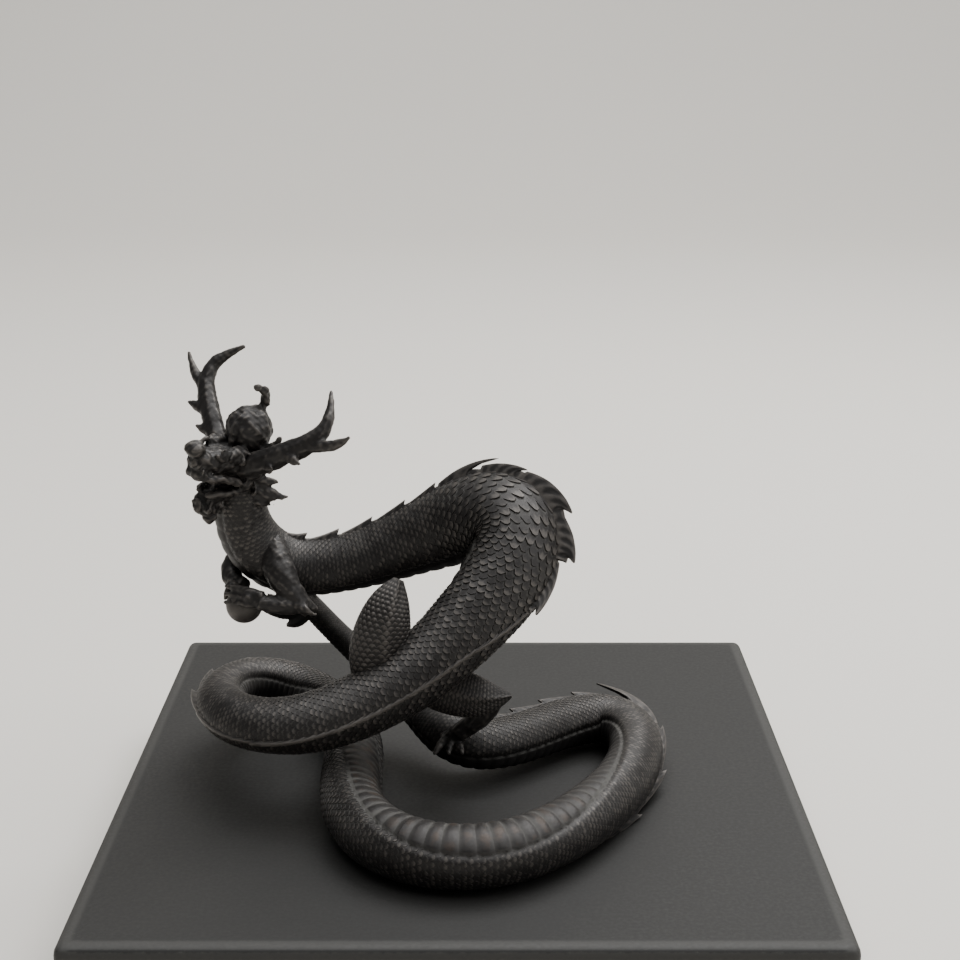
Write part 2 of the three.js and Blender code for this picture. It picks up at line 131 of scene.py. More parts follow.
# The fin along the back, in spans of the route: teeth, ridge and tooth height, rays in a tooth, and the
# kind of tooth.
FIN_STRETCHES = [
    (3.4, 5.4, 2, 0.2, 1.7, 4, "saw"),
    (5.4, 8.2, 3, 0.4, 1.5, 4, "saw"),
    (8.2, 9.1, 1, 0.9, 3.7, 4, "hook"),
    (9.1, 9.7, 1, 1.8, 2.8, 5, "lobe"),
    (9.7, 11.0, 2, 2.4, 4.4, 5, "lobe"),
    (11.0, 12.2, 1, 0.9, 2.4, 7, "lobe"),
    (12.2, 19.6, 5, 0.5, 0.8, 9, "lobe"),
    (19.6, 24.6, 6, 0.5, 2.0, 5, "saw"),
    (32.6, 35.1, 3, 0.5, 1.6, 5, "saw"),
    (35.1, 36.0, 1, 0.8, 4.2, 4, "hook"),
    (36.0, 38.8, 4, 0.5, 1.6, 4, "saw"),
    (38.8, 41.6, 3, 0.3, 0.9, 4, "saw"),
]
# For each kind of tooth: where its rays stand on the back, where they end and how high, all as shares.
FIN_TEETH = {
    "saw": ([0, 0.66, 0.86, 1], [0.06, 0.98, 0.90, 1.06], [0, 1, 0.1, 0]),
    "lobe": ([0, 0.25, 0.5, 0.66, 0.74, 0.86, 1], [0.06, 0.42, 0.8, 1.02, 1.04, 0.92, 1.06],
             [0, 0.55, 0.92, 1, 0.82, 0.12, 0]),
    "hook": ([0, 0.45, 0.66, 0.74, 1], [0.06, 0.62, 1.32, 0.82, 1.04], [0, 0.45, 1, 0.14, 0]),
}
FIN_ROOT = 1.6
FIN_HALF_ROOT = 1.1
FIN_HALF_TIP = 0.3

BALL_AT = (-49.9, -8.6, 45.0)
BALL_RADIUS = 4.2
HEAD_AT = (-50.1, -6, 78)
HEAD_TURN = (-12, -7, -130)


# ======================================================================================
# Settings
# ======================================================================================
def length(name, description, millimetres):
    return bpy.props.FloatProperty(name=name, description=description, default=millimetres * MM, min=0,
                                   unit="LENGTH", precision=5)


def colour(name, description, red, green, blue):
    return bpy.props.FloatVectorProperty(name=name, description=description, default=(red, green, blue),
                                         min=0, max=1, size=3, subtype="COLOR")


class DragonHideSettings(bpy.types.PropertyGroup):
    scale_lift: length("Scale lift", "How far a scale's free edge stands off the body, at the thickest place", 0.36)
    plate_lift: length("Plate lift", "How far a belly plate stands off the body, at the thickest place", 0.62)
    roughness: length("Casting roughness", "Small unevenness of the cast skin", 0.05)
    columns: bpy.props.IntProperty(name="Scales around", description="Scales in one row round the body",
                                   default=28, min=8, max=60)
    pitch: bpy.props.FloatProperty(name="Row pitch", description="Distance between rows, for a half thickness of one",
                                   default=0.15, min=0.05, max=0.5)
    rows_per_plate: bpy.props.IntProperty(name="Rows per plate", description="Scale rows beside one belly plate",
                                          default=3, min=1, max=6)


class DragonFormSettings(bpy.types.PropertyGroup):
    head_grain: length("Head grain", "Size of the cells that fuse the head's forms", 0.3)
    limb_grain: length("Limb grain", "Size of the cells that fuse the legs' forms", 0.3)
    fin_ray: bpy.props.FloatProperty(name="Fin rays", description="How much a ray thickens the fin",
                                     default=0.07, min=0, max=1)


class DragonFinishSettings(bpy.types.PropertyGroup):
    patina: colour("Patina", "The near-black skin of the bronze", 0.020, 0.018, 0.017)
    # Colour for high places: partly wear through the patina, partly a painted highlight on the edges that catch the
    # light.
    rubbed_and_highlight: colour("Rubbed", "High places worn through the patina", 0.105, 0.094, 0.084)
    dust: colour("Dust", "Pale dust lying in the hollows", 0.085, 0.082, 0.074)
    bare: colour("Bare metal", "Brown metal on the belly and the tail", 0.11, 0.068, 0.042)
    stain: colour("Stain", "The dark stain on the wood", 0.014, 0.0136, 0.0125)
    scuffed: colour("Scuffed wood", "Edges and scratches where the stain is thin", 0.040, 0.039, 0.036)


class DragonStageSettings(bpy.types.PropertyGroup):
    floor: colour("Floor", "The pale floor and backdrop", 0.72, 0.69, 0.64)
    room: bpy.props.FloatProperty(name="Room light", description="Strength of the even light all round",
                                  default=0.16, min=0)
    lens: bpy.props.FloatProperty(name="Lens", description="Focal length on a 36 mm sensor", default=60.75, min=1,
                                  unit="CAMERA")


def settings(name):
    return getattr(bpy.context.scene, name)


# ======================================================================================
# Nodes: one wrapper for sockets and one maker for any node
# ======================================================================================
class Wire:
    """A socket that can stand in ordinary arithmetic. Each sign adds a Math node."""

    def __init__(self, maker, socket):
        self.maker = maker
        self.socket = socket

    def math(self, operation, first, second):
        return self.maker.node("ShaderNodeMath", {"operation": operation}, {0: first, 1: second})

    def __add__(self, other):
        return self.math("ADD", self, other)

    def __radd__(self, other):
        return self.math("ADD", other, self)

    def __sub__(self, other):
        return self.math("SUBTRACT", self, other)

    def __rsub__(self, other):
        return self.math("SUBTRACT", other, self)

    def __mul__(self, other):
        return self.math("MULTIPLY", self, other)

    def __rmul__(self, other):
        return self.math("MULTIPLY", other, self)

    def __truediv__(self, other):
        return self.math("DIVIDE", self, other)

    def __rtruediv__(self, other):
        return self.math("DIVIDE", other, self)

    def __pow__(self, other):
        return self.math("POWER", self, other)


class Maker:
    """Adds nodes to a tree and links them."""

    def __init__(self, tree):
        self.tree = tree

    def plug(self, socket, value):
        if isinstance(value, Wire):
            self.tree.links.new(value.socket, socket)
        else:
            socket.default_value = value

    def node(self, kind, options=None, inputs=None, output=0):
        """A node of any kind: its options are set first, then its sockets' values or links."""
        node = self.tree.nodes.new(kind)
        for name, value in (options or {}).items():
            if name == "stops":
                self.set_stops(node.color_ramp, value)
            else:
                setattr(node, name, value)
        for key, value in (inputs or {}).items():
            self.plug(node.inputs[key], value)
        return Wire(self, node.outputs[output]) if len(node.outputs) else node

    @staticmethod
    def set_stops(ramp, stops):
        while len(ramp.elements) > len(stops):
            ramp.elements.remove(ramp.elements[-1])
        while len(ramp.elements) < len(stops):
            ramp.elements.new(1)
        for element, (place, shade) in zip(ramp.elements, stops):
            element.position = place
            element.color = (shade, shade, shade, 1)

    def clamp(self, value, low=0.0, high=1.0):
        return self.node("ShaderNodeClamp", None, {"Value": value, "Min": low, "Max": high})

    def smooth(self, value, low, high):
        """0 below low, 1 above high, and a smooth rise between."""
        return self.node("ShaderNodeMapRange", {"interpolation_type": "SMOOTHSTEP"},
                         {"Value": value, "From Min": low, "From Max": high})

    def blend(self, share, first, second):
        """A mix of two colours."""
        mixed = self.tree.nodes.new("ShaderNodeMix")
        mixed.data_type = "RGBA"
        self.plug(mixed.inputs[0], share)
        for socket, value in ((mixed.inputs[6], first), (mixed.inputs[7], second)):
            self.plug(socket, value if isinstance(value, Wire) else (*value, 1))
        return Wire(self, mixed.outputs[2])

    def noise(self, where, size, detail=4.0, roughness=0.55, distortion=0.0):
        """Noise whose blotches are about the given size in metres."""
        return self.node("ShaderNodeTexNoise", None, {
            "Vector": where, "Scale": 1 / size, "Detail": detail, "Roughness": roughness, "Distortion": distortion})


# ======================================================================================
# Forms: arrays of corners and lists of faces, in millimetres
# ======================================================================================
def unit(vectors):
    return vectors / np.maximum(np.linalg.norm(vectors, axis=-1, keepdims=True), 1e-9)


def unevenness(corners, size, seed=SEED):
    """A smooth lumpy field between about -1 and 1, with lumps of the given size."""
    chance = np.random.default_rng(seed)
    waves = unit(chance.normal(size=(14, 3))) * chance.uniform(0.7, 1.5, (14, 1)) * (math.pi / size)
    starts = chance.uniform(0, 2 * math.pi, 14)
    return np.sin(np.asarray(corners) @ waves.T + starts).sum(axis=1) / 4.5


def ramp_between(value, low, high):
    share = np.clip((value - low) / (high - low), 0, 1)
    return share * share * (3 - 2 * share)


def spline(rows, spans):
    """A smooth cubic spline that follows rows of numbers, read at many spans at once."""
    rows = np.asarray(rows, float)
    spans = np.asarray(spans, float)
    before = 2 * rows[0] - rows[1]
    after = 2 * rows[-1] - rows[-2]
    padded = np.vstack([before, before, rows, after])
    start = np.clip(np.floor(spans).astype(int), -1, len(rows) - 2)
    t = (spans - start)[..., None]
    weights = [(1 - t) ** 3 / 6, (3 * t**3 - 6 * t**2 + 4) / 6,
               (-3 * t**3 + 3 * t**2 + 3 * t + 1) / 6, t**3 / 6]
    return sum(weight * padded[start + 1 + k] for k, weight in enumerate(weights))


def body_rows():
    rows = np.array(BODY_ROUTE, float)
    rows[:, 4:7] = unit(rows[:, 4:7])
    return rows


class Station:
    """Middles, axes and half thickness at many places on the body."""

    def __init__(self, spans):
        rows = body_rows()
        here = spline(rows, spans)
        self.at = here[..., :3]
        self.radius = here[..., 3]
        ahead = spline(rows, spans + 0.35)[..., :3] - self.at
        behind = self.at - spline(rows, spans - 0.35)[..., :3]
        self.along = unit(ahead + behind)
        reach = np.linalg.norm(ahead, axis=-1) + np.linalg.norm(behind, axis=-1)
        self.bend = (unit(ahead) - unit(behind)) * (2 / reach)[..., None]
        back = here[..., 4:7]
        self.back = unit(back - self.along * np.sum(back * self.along, axis=-1, keepdims=True))
        self.side = np.cross(self.along, self.back)

    def outward(self, angle):
        return self.back * np.cos(angle)[..., None] + self.side * np.sin(angle)[..., None]

    def skin(self, angle):
        """The skin's distance from the middle, with a keel, a flatter belly and no fold in a bend."""
        keel = 1 + BODY_KEEL * np.maximum(0, np.cos(angle)) ** 6
        belly = 1 - (1 - BODY_BELLY) * ramp_between(-np.cos(angle), 0.45, 0.72)
        inward = np.sum(self.bend * self.outward(angle), axis=-1)
        limit = np.where(inward > 0, BEND_LIMIT / np.maximum(inward, 1e-6), 1e6)
        return np.minimum(self.radius * keel * belly, limit)


def loft(rings):
    """A skin over rings with the same count of corners, closed by a fan at each end."""
    rings = np.asarray(rings, float)
    many, count = rings.shape[:2]
    corners = rings.reshape(-1, 3)
    start = (np.arange(many - 1)[:, None] * count + np.arange(count)).ravel()
    beside = (np.arange(many - 1)[:, None] * count + (np.arange(count) + 1) % count).ravel()
    quads = np.stack([start, beside, beside + count, start + count], axis=1).tolist()
    first, last = len(corners), len(corners) + 1
    corners = np.vstack([corners, rings[0].mean(axis=0), rings[-1].mean(axis=0)])
    base = (many - 1) * count
    for k in range(count):
        after = (k + 1) % count
        quads.append([first, after, k])
        quads.append([last, base + k, base + after])
    return outwards((corners, quads))


def outwards(form):
    """Turns a closed form's faces outwards, whichever way they were wound."""
    corners, faces = form
    volume = 0.0
    for face in faces:
        a = corners[face[0]]
        for j in range(1, len(face) - 1):
            volume += np.dot(a, np.cross(corners[face[j]], corners[face[j + 1]]))
    if volume < 0:
        faces = [list(reversed(face)) for face in faces]
    return corners, faces


def merged(forms):
    corners = []
    faces = []
    offset = 0
    for points, polygons in forms:
        corners.append(np.asarray(points))
        faces.extend([[index + offset for index in face] for face in polygons])
        offset += len(points)
    return np.vstack(corners), faces


def limb(points, sides=16, steps=8, flat=1.0, facing=(0, 0, 1), flutes=0, flute_depth=0.0):
    """A rounded or flattened horn, limb or blade through points [x, y, z, half width]."""
    count = len(points) - 1
    spans = np.linspace(0, count, count * steps + 1)
    here = spline(points, spans)
    ahead = spline(points, np.minimum(spans + 0.05, count))[:, :3]
    behind = spline(points, np.maximum(spans - 0.05, 0))[:, :3]
    along = unit(ahead - behind)
    facing = np.asarray(facing, float)
    thin = unit(facing - along * np.sum(along * facing, axis=-1, keepdims=True))
    wide = np.cross(along, thin)
    angles = 2 * np.pi * np.arange(sides) / sides
    swell = 1 + flute_depth * np.cos(flutes * angles)
    reach = here[:, 3][:, None, None]
    rings = here[:, None, :3] + wide[:, None] * (reach * (swell * np.cos(angles))[None, :, None])
    rings = rings + thin[:, None] * (reach * flat * (swell * np.sin(angles))[None, :, None])
    return loft(rings)


def lump(centre, radii, detail=24):
    """A closed round form with its three half sizes."""
    levels = np.linspace(0.08, math.pi - 0.08, detail // 2)
    angles = 2 * np.pi * np.arange(detail) / detail
    ring = np.stack([np.sin(levels)[:, None] * np.cos(angles), np.sin(levels)[:, None] * np.sin(angles),
                     np.repeat(np.cos(levels)[:, None], detail, axis=1)], axis=-1)
    return loft(np.asarray(centre) + ring * np.asarray(radii))


def curl(turns=1.6, reach=1.0, thick=0.3, rise=0.25):
    """A snail-like curl of unit size that winds inwards and rises to its middle."""
    points = []
    steps = 14
    for k in range(steps + 1):
        share = k / steps
        angle = share * turns * 2 * math.pi
        away = reach * (1 - 0.78 * share)
        points.append([away * math.cos(angle), away * math.sin(angle), rise * share, thick * (1 - 0.45 * share)])
    return limb(points, sides=8, steps=2, facing=(0, 0, 1))


def claw():
    """A talon of unit length, from its root at the origin forwards along x and down."""
    return limb([[-0.1, 0, 0, 0.2], [0.3, 0, 0.12, 0.22], [0.7, 0, 0.02, 0.13], [1.0, 0, -0.3, 0.02]],
                sides=8, steps=3, flat=0.8, facing=(0, 1, 0))


def lock_of_mane():
    """A pointed, grooved lock of unit length along x, bent a little upwards."""
    return limb([[0, 0, 0, 0.2], [0.35, 0, 0.03, 0.24], [0.72, 0, 0.1, 0.14], [1.0, 0, 0.28, 0.015]],
                sides=12, steps=4, flat=0.5, facing=(0, 1, 0), flutes=6, flute_depth=0.12)


def moved(form, at=(0, 0, 0), turn=(0, 0, 0), size=1.0):
    """A form scaled, turned by degrees about x, y and z, and moved."""
    corners, faces = form
    spin = np.array(Euler([math.radians(angle) for angle in turn]).to_matrix())
    return (corners * size) @ spin.T + np.asarray(at, float), faces


# ======================================================================================
# Meshes and objects, in metres
# ======================================================================================
def mesh_of(name, form, attributes=None):
    corners, faces = form
    placed = (np.asarray(corners) + (0, 0, PLINTH_TOP)) * MM
    mesh = bpy.data.meshes.new(name)
    mesh.from_pydata(placed.tolist(), [], faces)
    for key, values in (attributes or {}).items():
        values = np.asarray(values, np.float32)
        kind = "FLOAT_VECTOR" if values.ndim == 2 else "FLOAT"
        field = "vector" if values.ndim == 2 else "value"
        layer = mesh.attributes.new(key, kind, "POINT")
        layer.data.foreach_set(field, values.ravel())
    mesh.update()
    return mesh


def shown(name, mesh):
    piece = bpy.data.objects.new(name, mesh)
    bpy.context.scene.collection.objects.link(piece)
    return piece


def baked(piece):
    """Turns a piece and its live modifiers into a plain mesh."""
    graph = bpy.context.evaluated_depsgraph_get()
    result = bpy.data.meshes.new_from_object(piece.evaluated_get(graph))
    old = piece.data
    piece.modifiers.clear()
    piece.data = result
    bpy.data.meshes.remove(old)
    result.name = piece.name
    return piece


def read_corners(mesh):
    corners = np.empty(len(mesh.vertices) * 3, np.float32)
    mesh.vertices.foreach_get("co", corners)
    return corners.reshape(-1, 3)


def read_normals(mesh):
    normals = np.empty(len(mesh.vertices) * 3, np.float32)
    mesh.vertices.foreach_get("normal", normals)
    return normals.reshape(-1, 3)


def evened(mesh, corners, times, share=0.5):
    """Corner places after averaging with their neighbours a number of times."""
    edges = np.empty(len(mesh.edges) * 2, np.int32)
    mesh.edges.foreach_get("vertices", edges)
    edges = edges.reshape(-1, 2)
    degree = np.maximum(np.bincount(edges.ravel(), minlength=len(corners)), 1)[:, None]
    for _ in range(times):
        total = np.zeros_like(corners)
        np.add.at(total, edges[:, 0], corners[edges[:, 1]])
        np.add.at(total, edges[:, 1], corners[edges[:, 0]])
        corners = corners * (1 - share) + share * total / degree
    return corners


def mark_relief(mesh, depth):
    """Stores how far each corner stands above (1) or below (-1) its surroundings."""
    corners = read_corners(mesh)
    normals = read_normals(mesh)
    calm = evened(mesh, corners.astype(np.float64), 6)
    raised = np.sum((corners - calm) * normals, axis=1) / (depth * MM)
    layer = mesh.attributes.new("raised", "FLOAT", "POINT")
    layer.data.foreach_set("value", np.clip(raised, -1, 1).astype(np.float32))


def fused(piece, grain, smoothing=2):
    """Fuses a piece's overlapping closed forms into one skin, as in a casting."""
    cells = piece.modifiers.new("Fuse", "REMESH")
    cells.mode = "VOXEL"
    cells.voxel_size = grain
    baked(piece)
    mesh = piece.data
    corners = evened(mesh, read_corners(mesh).astype(np.float64), smoothing)
    mesh.vertices.foreach_set("co", corners.astype(np.float32).ravel())
    mesh.update()
    return piece


def chased(piece, lumps):
    """Works a cast surface over with lumps: pairs of size and height in millimetres."""
    mesh = piece.data
    corners = read_corners(mesh).astype(np.float64)
    normals = read_normals(mesh)
    for size, height in lumps:
        corners += normals * (unevenness(corners / MM, size)[:, None] * height * MM)
    mesh.vertices.foreach_set("co", corners.astype(np.float32).ravel())
    mesh.update()
    return piece


def finished(piece, material, node, relief=0.12, sharp=None):
    """Gives a piece its finish and its place in the sculpture."""
    mesh = piece.data
    if "raised" not in mesh.attributes:
        mark_relief(mesh, relief)
    for polygon in mesh.polygons:
        polygon.use_smooth = True
    if sharp:
        mesh.set_sharp_from_angle(angle=math.radians(sharp))
    mesh.materials.clear()
    mesh.materials.append(material)
    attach(piece, "root")
    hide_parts(node)
    return piece


# ======================================================================================
# Geometry node trees
# ======================================================================================
def tree_with(name, sockets):
    """A geometry node tree with a geometry input and output and the named inputs between."""
    tree = bpy.data.node_groups.new(name, "GeometryNodeTree")
    tree.interface.new_socket("Geometry", in_out="INPUT", socket_type="NodeSocketGeometry")
    for label, kind in sockets:
        tree.interface.new_socket(label, in_out="INPUT", socket_type=kind)
    tree.interface.new_socket("Geometry", in_out="OUTPUT", socket_type="NodeSocketGeometry")
    maker = Maker(tree)
    entry = tree.nodes.new("NodeGroupInput")
    inputs = {socket.name: Wire(maker, socket) for socket in entry.outputs if socket.name}
    return tree, maker, inputs


def close_tree(maker, geometry, material):
    """Ends a tree as every tree here ends: real copies with their material."""
    real = maker.node("GeometryNodeRealizeInstances", None, {0: geometry})
    dressed = maker.node("GeometryNodeSetMaterial", None, {"Geometry": real, "Material": material})
    exit_node = maker.tree.nodes.new("NodeGroupOutput")
    maker.plug(exit_node.inputs[0], dressed)


def run_tree(piece, tree, values):
    """Runs a tree on a piece with its named inputs, and keeps the plain mesh."""
    modifier = piece.modifiers.new(tree.name, "NODES")
    modifier.node_group = tree
    for item in tree.interface.items_tree:
        if item.item_type == "SOCKET" and item.in_out == "INPUT" and item.name in values:
            modifier[item.identifier] = values[item.name]
    return baked(piece)


def raised_hide_tree():
    """Lifts each corner of a body along its outward direction: scales, belly plates and unevenness."""
    tree, maker, inputs = tree_with("raised_hide", [
        ("Scale lift", "NodeSocketFloat"), ("Plate lift", "NodeSocketFloat"), ("Roughness", "NodeSocketFloat"),
        ("Seed", "NodeSocketFloat"), ("Material", "NodeSocketMaterial")])

    def stored(name, kind="FLOAT"):
        return maker.node("GeometryNodeInputNamedAttribute", {"data_type": kind}, {"Name": name})

    place = maker.node("GeometryNodeInputPosition")
    unevenness = maker.node("ShaderNodeTexNoise", {"noise_dimensions": "4D"}, {
        "Vector": place, "W": inputs["Seed"], "Scale": 420.0, "Detail": 3.0})
    lift = (stored("scale_rise") * inputs["Scale lift"] + stored("plate_rise") * inputs["Plate lift"]
            + (unevenness - 0.5) * 2 * inputs["Roughness"])
    offset = maker.node("ShaderNodeVectorMath", {"operation": "SCALE"}, {
        0: stored("outward", "FLOAT_VECTOR"), "Scale": lift})
    moved_points = maker.node("GeometryNodeSetPosition", None, {"Geometry": inputs["Geometry"], "Offset": offset})
    close_tree(maker, moved_points, inputs["Material"])
    return tree


def planted_copies_tree():
    """Plants a copy of a form on each point, turned and sized by the point's own values."""
    tree, maker, inputs = tree_with("planted_copies", [
        ("Form", "NodeSocketObject"), ("Size", "NodeSocketFloat"), ("Material", "NodeSocketMaterial")])

    def stored(name, kind):
        return maker.node("GeometryNodeInputNamedAttribute", {"data_type": kind}, {"Name": name})

    form = maker.node("GeometryNodeObjectInfo", None, {"Object": inputs["Form"]}, output="Geometry")
    turn = maker.node("FunctionNodeEulerToRotation", None, {0: stored("turn", "FLOAT_VECTOR")})
    size = stored("size", "FLOAT") * inputs["Size"]
    copies = maker.node("GeometryNodeInstanceOnPoints", None, {
        "Points": inputs["Geometry"], "Instance": form, "Rotation": turn, "Scale": size})
    close_tree(maker, copies, inputs["Material"])
    return tree


def planted(form, rows, tree, material):
    """The copies of one form at rows [x, y, z, turn x, turn y, turn z, size], as a form again."""
    corners, faces = form
    template_mesh = bpy.data.meshes.new("template")
    template_mesh.from_pydata(np.asarray(corners).tolist(), [], faces)
    template = bpy.data.objects.new("template", template_mesh)
    rows = np.asarray(rows, float)
    points = bpy.data.meshes.new("points")
    points.from_pydata(rows[:, :3].tolist(), [], [])
    for key, kind, field, values in (("turn", "FLOAT_VECTOR", "vector", np.radians(rows[:, 3:6])),
                                     ("size", "FLOAT", "value", rows[:, 6])):
        layer = points.attributes.new(key, kind, "POINT")
        layer.data.foreach_set(field, values.astype(np.float32).ravel())
    holder = shown("copies", points)
    run_tree(holder, tree, {"Form": template, "Size": 1.0, "Material": material})
    mesh = holder.data
    result = (read_corners(mesh).astype(np.float64), [list(polygon.vertices) for polygon in mesh.polygons])
    bpy.data.objects.remove(holder)
    bpy.data.objects.remove(template)
    return result


# ======================================================================================
# Materials
# ======================================================================================
def material_with(name):
    material = bpy.data.materials.new(name)
    material.use_nodes = True
    material.node_tree.nodes.clear()
    return material, Maker(material.node_tree)


def close_material(maker, surface):
    output = maker.tree.nodes.new("ShaderNodeOutputMaterial")
    maker.plug(output.inputs["Surface"], surface)


def patinated_bronze():
    """Near-black bronze: paler brown on high places, partly wear through the patina and partly painted highlight,
    pale dust in the hollows, bare metal in places.
    """
    finish = settings("dragon_finish")
    material, maker = material_with("patinated_bronze")
    place = maker.node("ShaderNodeTexCoord", output="Object")
    raised = maker.node("ShaderNodeAttribute", {"attribute_name": "raised"}, output="Fac")
    worn = maker.node("ShaderNodeAttribute", {"attribute_name": "worn"}, output="Fac")
    facing = maker.node("ShaderNodeNewGeometry", output="Normal")
    up = maker.node("ShaderNodeSeparateXYZ", None, {0: facing}, output="Z")
    broad = maker.noise(place, 0.014, detail=3)
    patches = maker.noise(place, 0.0032, detail=5)
    grain = maker.noise(place, 0.0005, detail=3)
    # Paler brown on raised places: partly wear, partly a painted highlight on the edges.
    rubbed_and_highlight = maker.smooth(raised + (patches - 0.5) * 0.9, 0.12, 0.75) * (0.35 + 0.65 * broad)
    dusty = maker.smooth(-1 * raised + (patches - 0.5) * 0.8, 0.15, 0.7) * maker.smooth(up, -0.4, 0.6)
    dusty = dusty * (0.25 + 0.75 * maker.smooth(broad, 0.35, 0.65))
    bare = maker.clamp(worn * maker.smooth(patches + raised * 0.3, 0.42, 0.62))
    tone = maker.blend(maker.clamp(rubbed_and_highlight), tuple(finish.patina), tuple(finish.rubbed_and_highlight))
    tone = maker.blend(maker.clamp(dusty * 0.7), tone, tuple(finish.dust))
    tone = maker.blend(bare, tone, tuple(finish.bare))
    dull = maker.clamp(0.50 + dusty * 0.3 + (grain - 0.5) * 0.25 + (patches - 0.5) * 0.2 - bare * 0.1, 0.25, 0.9)
    bump = maker.node("ShaderNodeBump", None, {"Strength": 0.35, "Distance": 0.00008,
                                               "Height": grain + patches * 0.6})
    surface = maker.node("ShaderNodeBsdfPrincipled", None, {
        "Base Color": tone, "Roughness": dull, "Metallic": maker.clamp(0.45 + bare * 0.4 - dusty * 0.4),
        "Normal": bump, "Specular IOR Level": 0.5})
    close_material(maker, surface)
    return material


def stained_wood():
    """Dark stained wood, almost without shine, paler where its edges are scuffed."""
    finish = settings("dragon_finish")
    material, maker = material_with("dark_stained_wood")
    place = maker.node("ShaderNodeTexCoord", output="Object")
    raised = maker.node("ShaderNodeAttribute", {"attribute_name": "raised"}, output="Fac")
    stretched = maker.node("ShaderNodeMapping", None, {"Vector": place, "Scale": (0.12, 1.0, 1.0)})
    fibres = maker.noise(stretched, 0.0012, detail=5, roughness=0.65)
    clouds = maker.noise(place, 0.05, detail=3)
    specks = maker.noise(place, 0.0009, detail=2)
    scuffs = maker.smooth(raised + (specks - 0.5) * 0.8, 0.25, 0.8)
    marks = maker.smooth(specks + (clouds - 0.5) * 0.25, 0.66, 0.78) * 0.35
    tone = maker.blend(maker.clamp((fibres - 0.5) * 0.5 + 0.3 * clouds), tuple(finish.stain),
                       tuple(0.55 * part for part in finish.stain))
    tone = maker.blend(maker.clamp(scuffs * 0.8 + marks), tone, tuple(finish.scuffed))
    bump = maker.node("ShaderNodeBump", None, {"Strength": 0.25, "Distance": 0.0001,
                                               "Height": fibres + specks * 0.5})
    surface = maker.node("ShaderNodeBsdfPrincipled", None, {
        "Base Color": tone, "Roughness": maker.clamp(0.62 + (specks - 0.5) * 0.3), "Normal": bump,
        "Specular IOR Level": 0.35})
    close_material(maker, surface)
    return material


def plain_matte(name, shade):
    material, maker = material_with(name)
    place = maker.node("ShaderNodeTexCoord", output="Object")
    clouds = maker.noise(place, 0.3, detail=2)
    tone = maker.blend(clouds, tuple(shade), tuple(0.97 * part for part in shade))
    close_material(maker, maker.node("ShaderNodeBsdfPrincipled", None, {
        "Base Color": tone, "Roughness": 0.9, "Specular IOR Level": 0.2}))
    return material


def made_once(make):
    """The one copy of a material or tree, made the first time it is asked for."""
    kept = {}

    def give():
        if "it" not in kept:
            kept["it"] = make()
        return kept["it"]

    return give


bronze = made_once(patinated_bronze)
wood = made_once(stained_wood)
hide_tree = made_once(raised_hide_tree)
copies_tree = made_once(planted_copies_tree)


# ======================================================================================
# The body
# ======================================================================================
def row_scale(first, last, pitch):
    """Spans and the count of scale rows up to each, with rows in step with the thickness."""
    spans = np.linspace(first, last, int((last - first) * 60))
    station = Station(spans)
    steps = np.linalg.norm(np.diff(station.at, axis=0), axis=1)
    pitches = pitch * (station.radius[1:] + station.radius[:-1]) / 2
    return spans, np.concatenate([[0], np.cumsum(steps / pitches)])


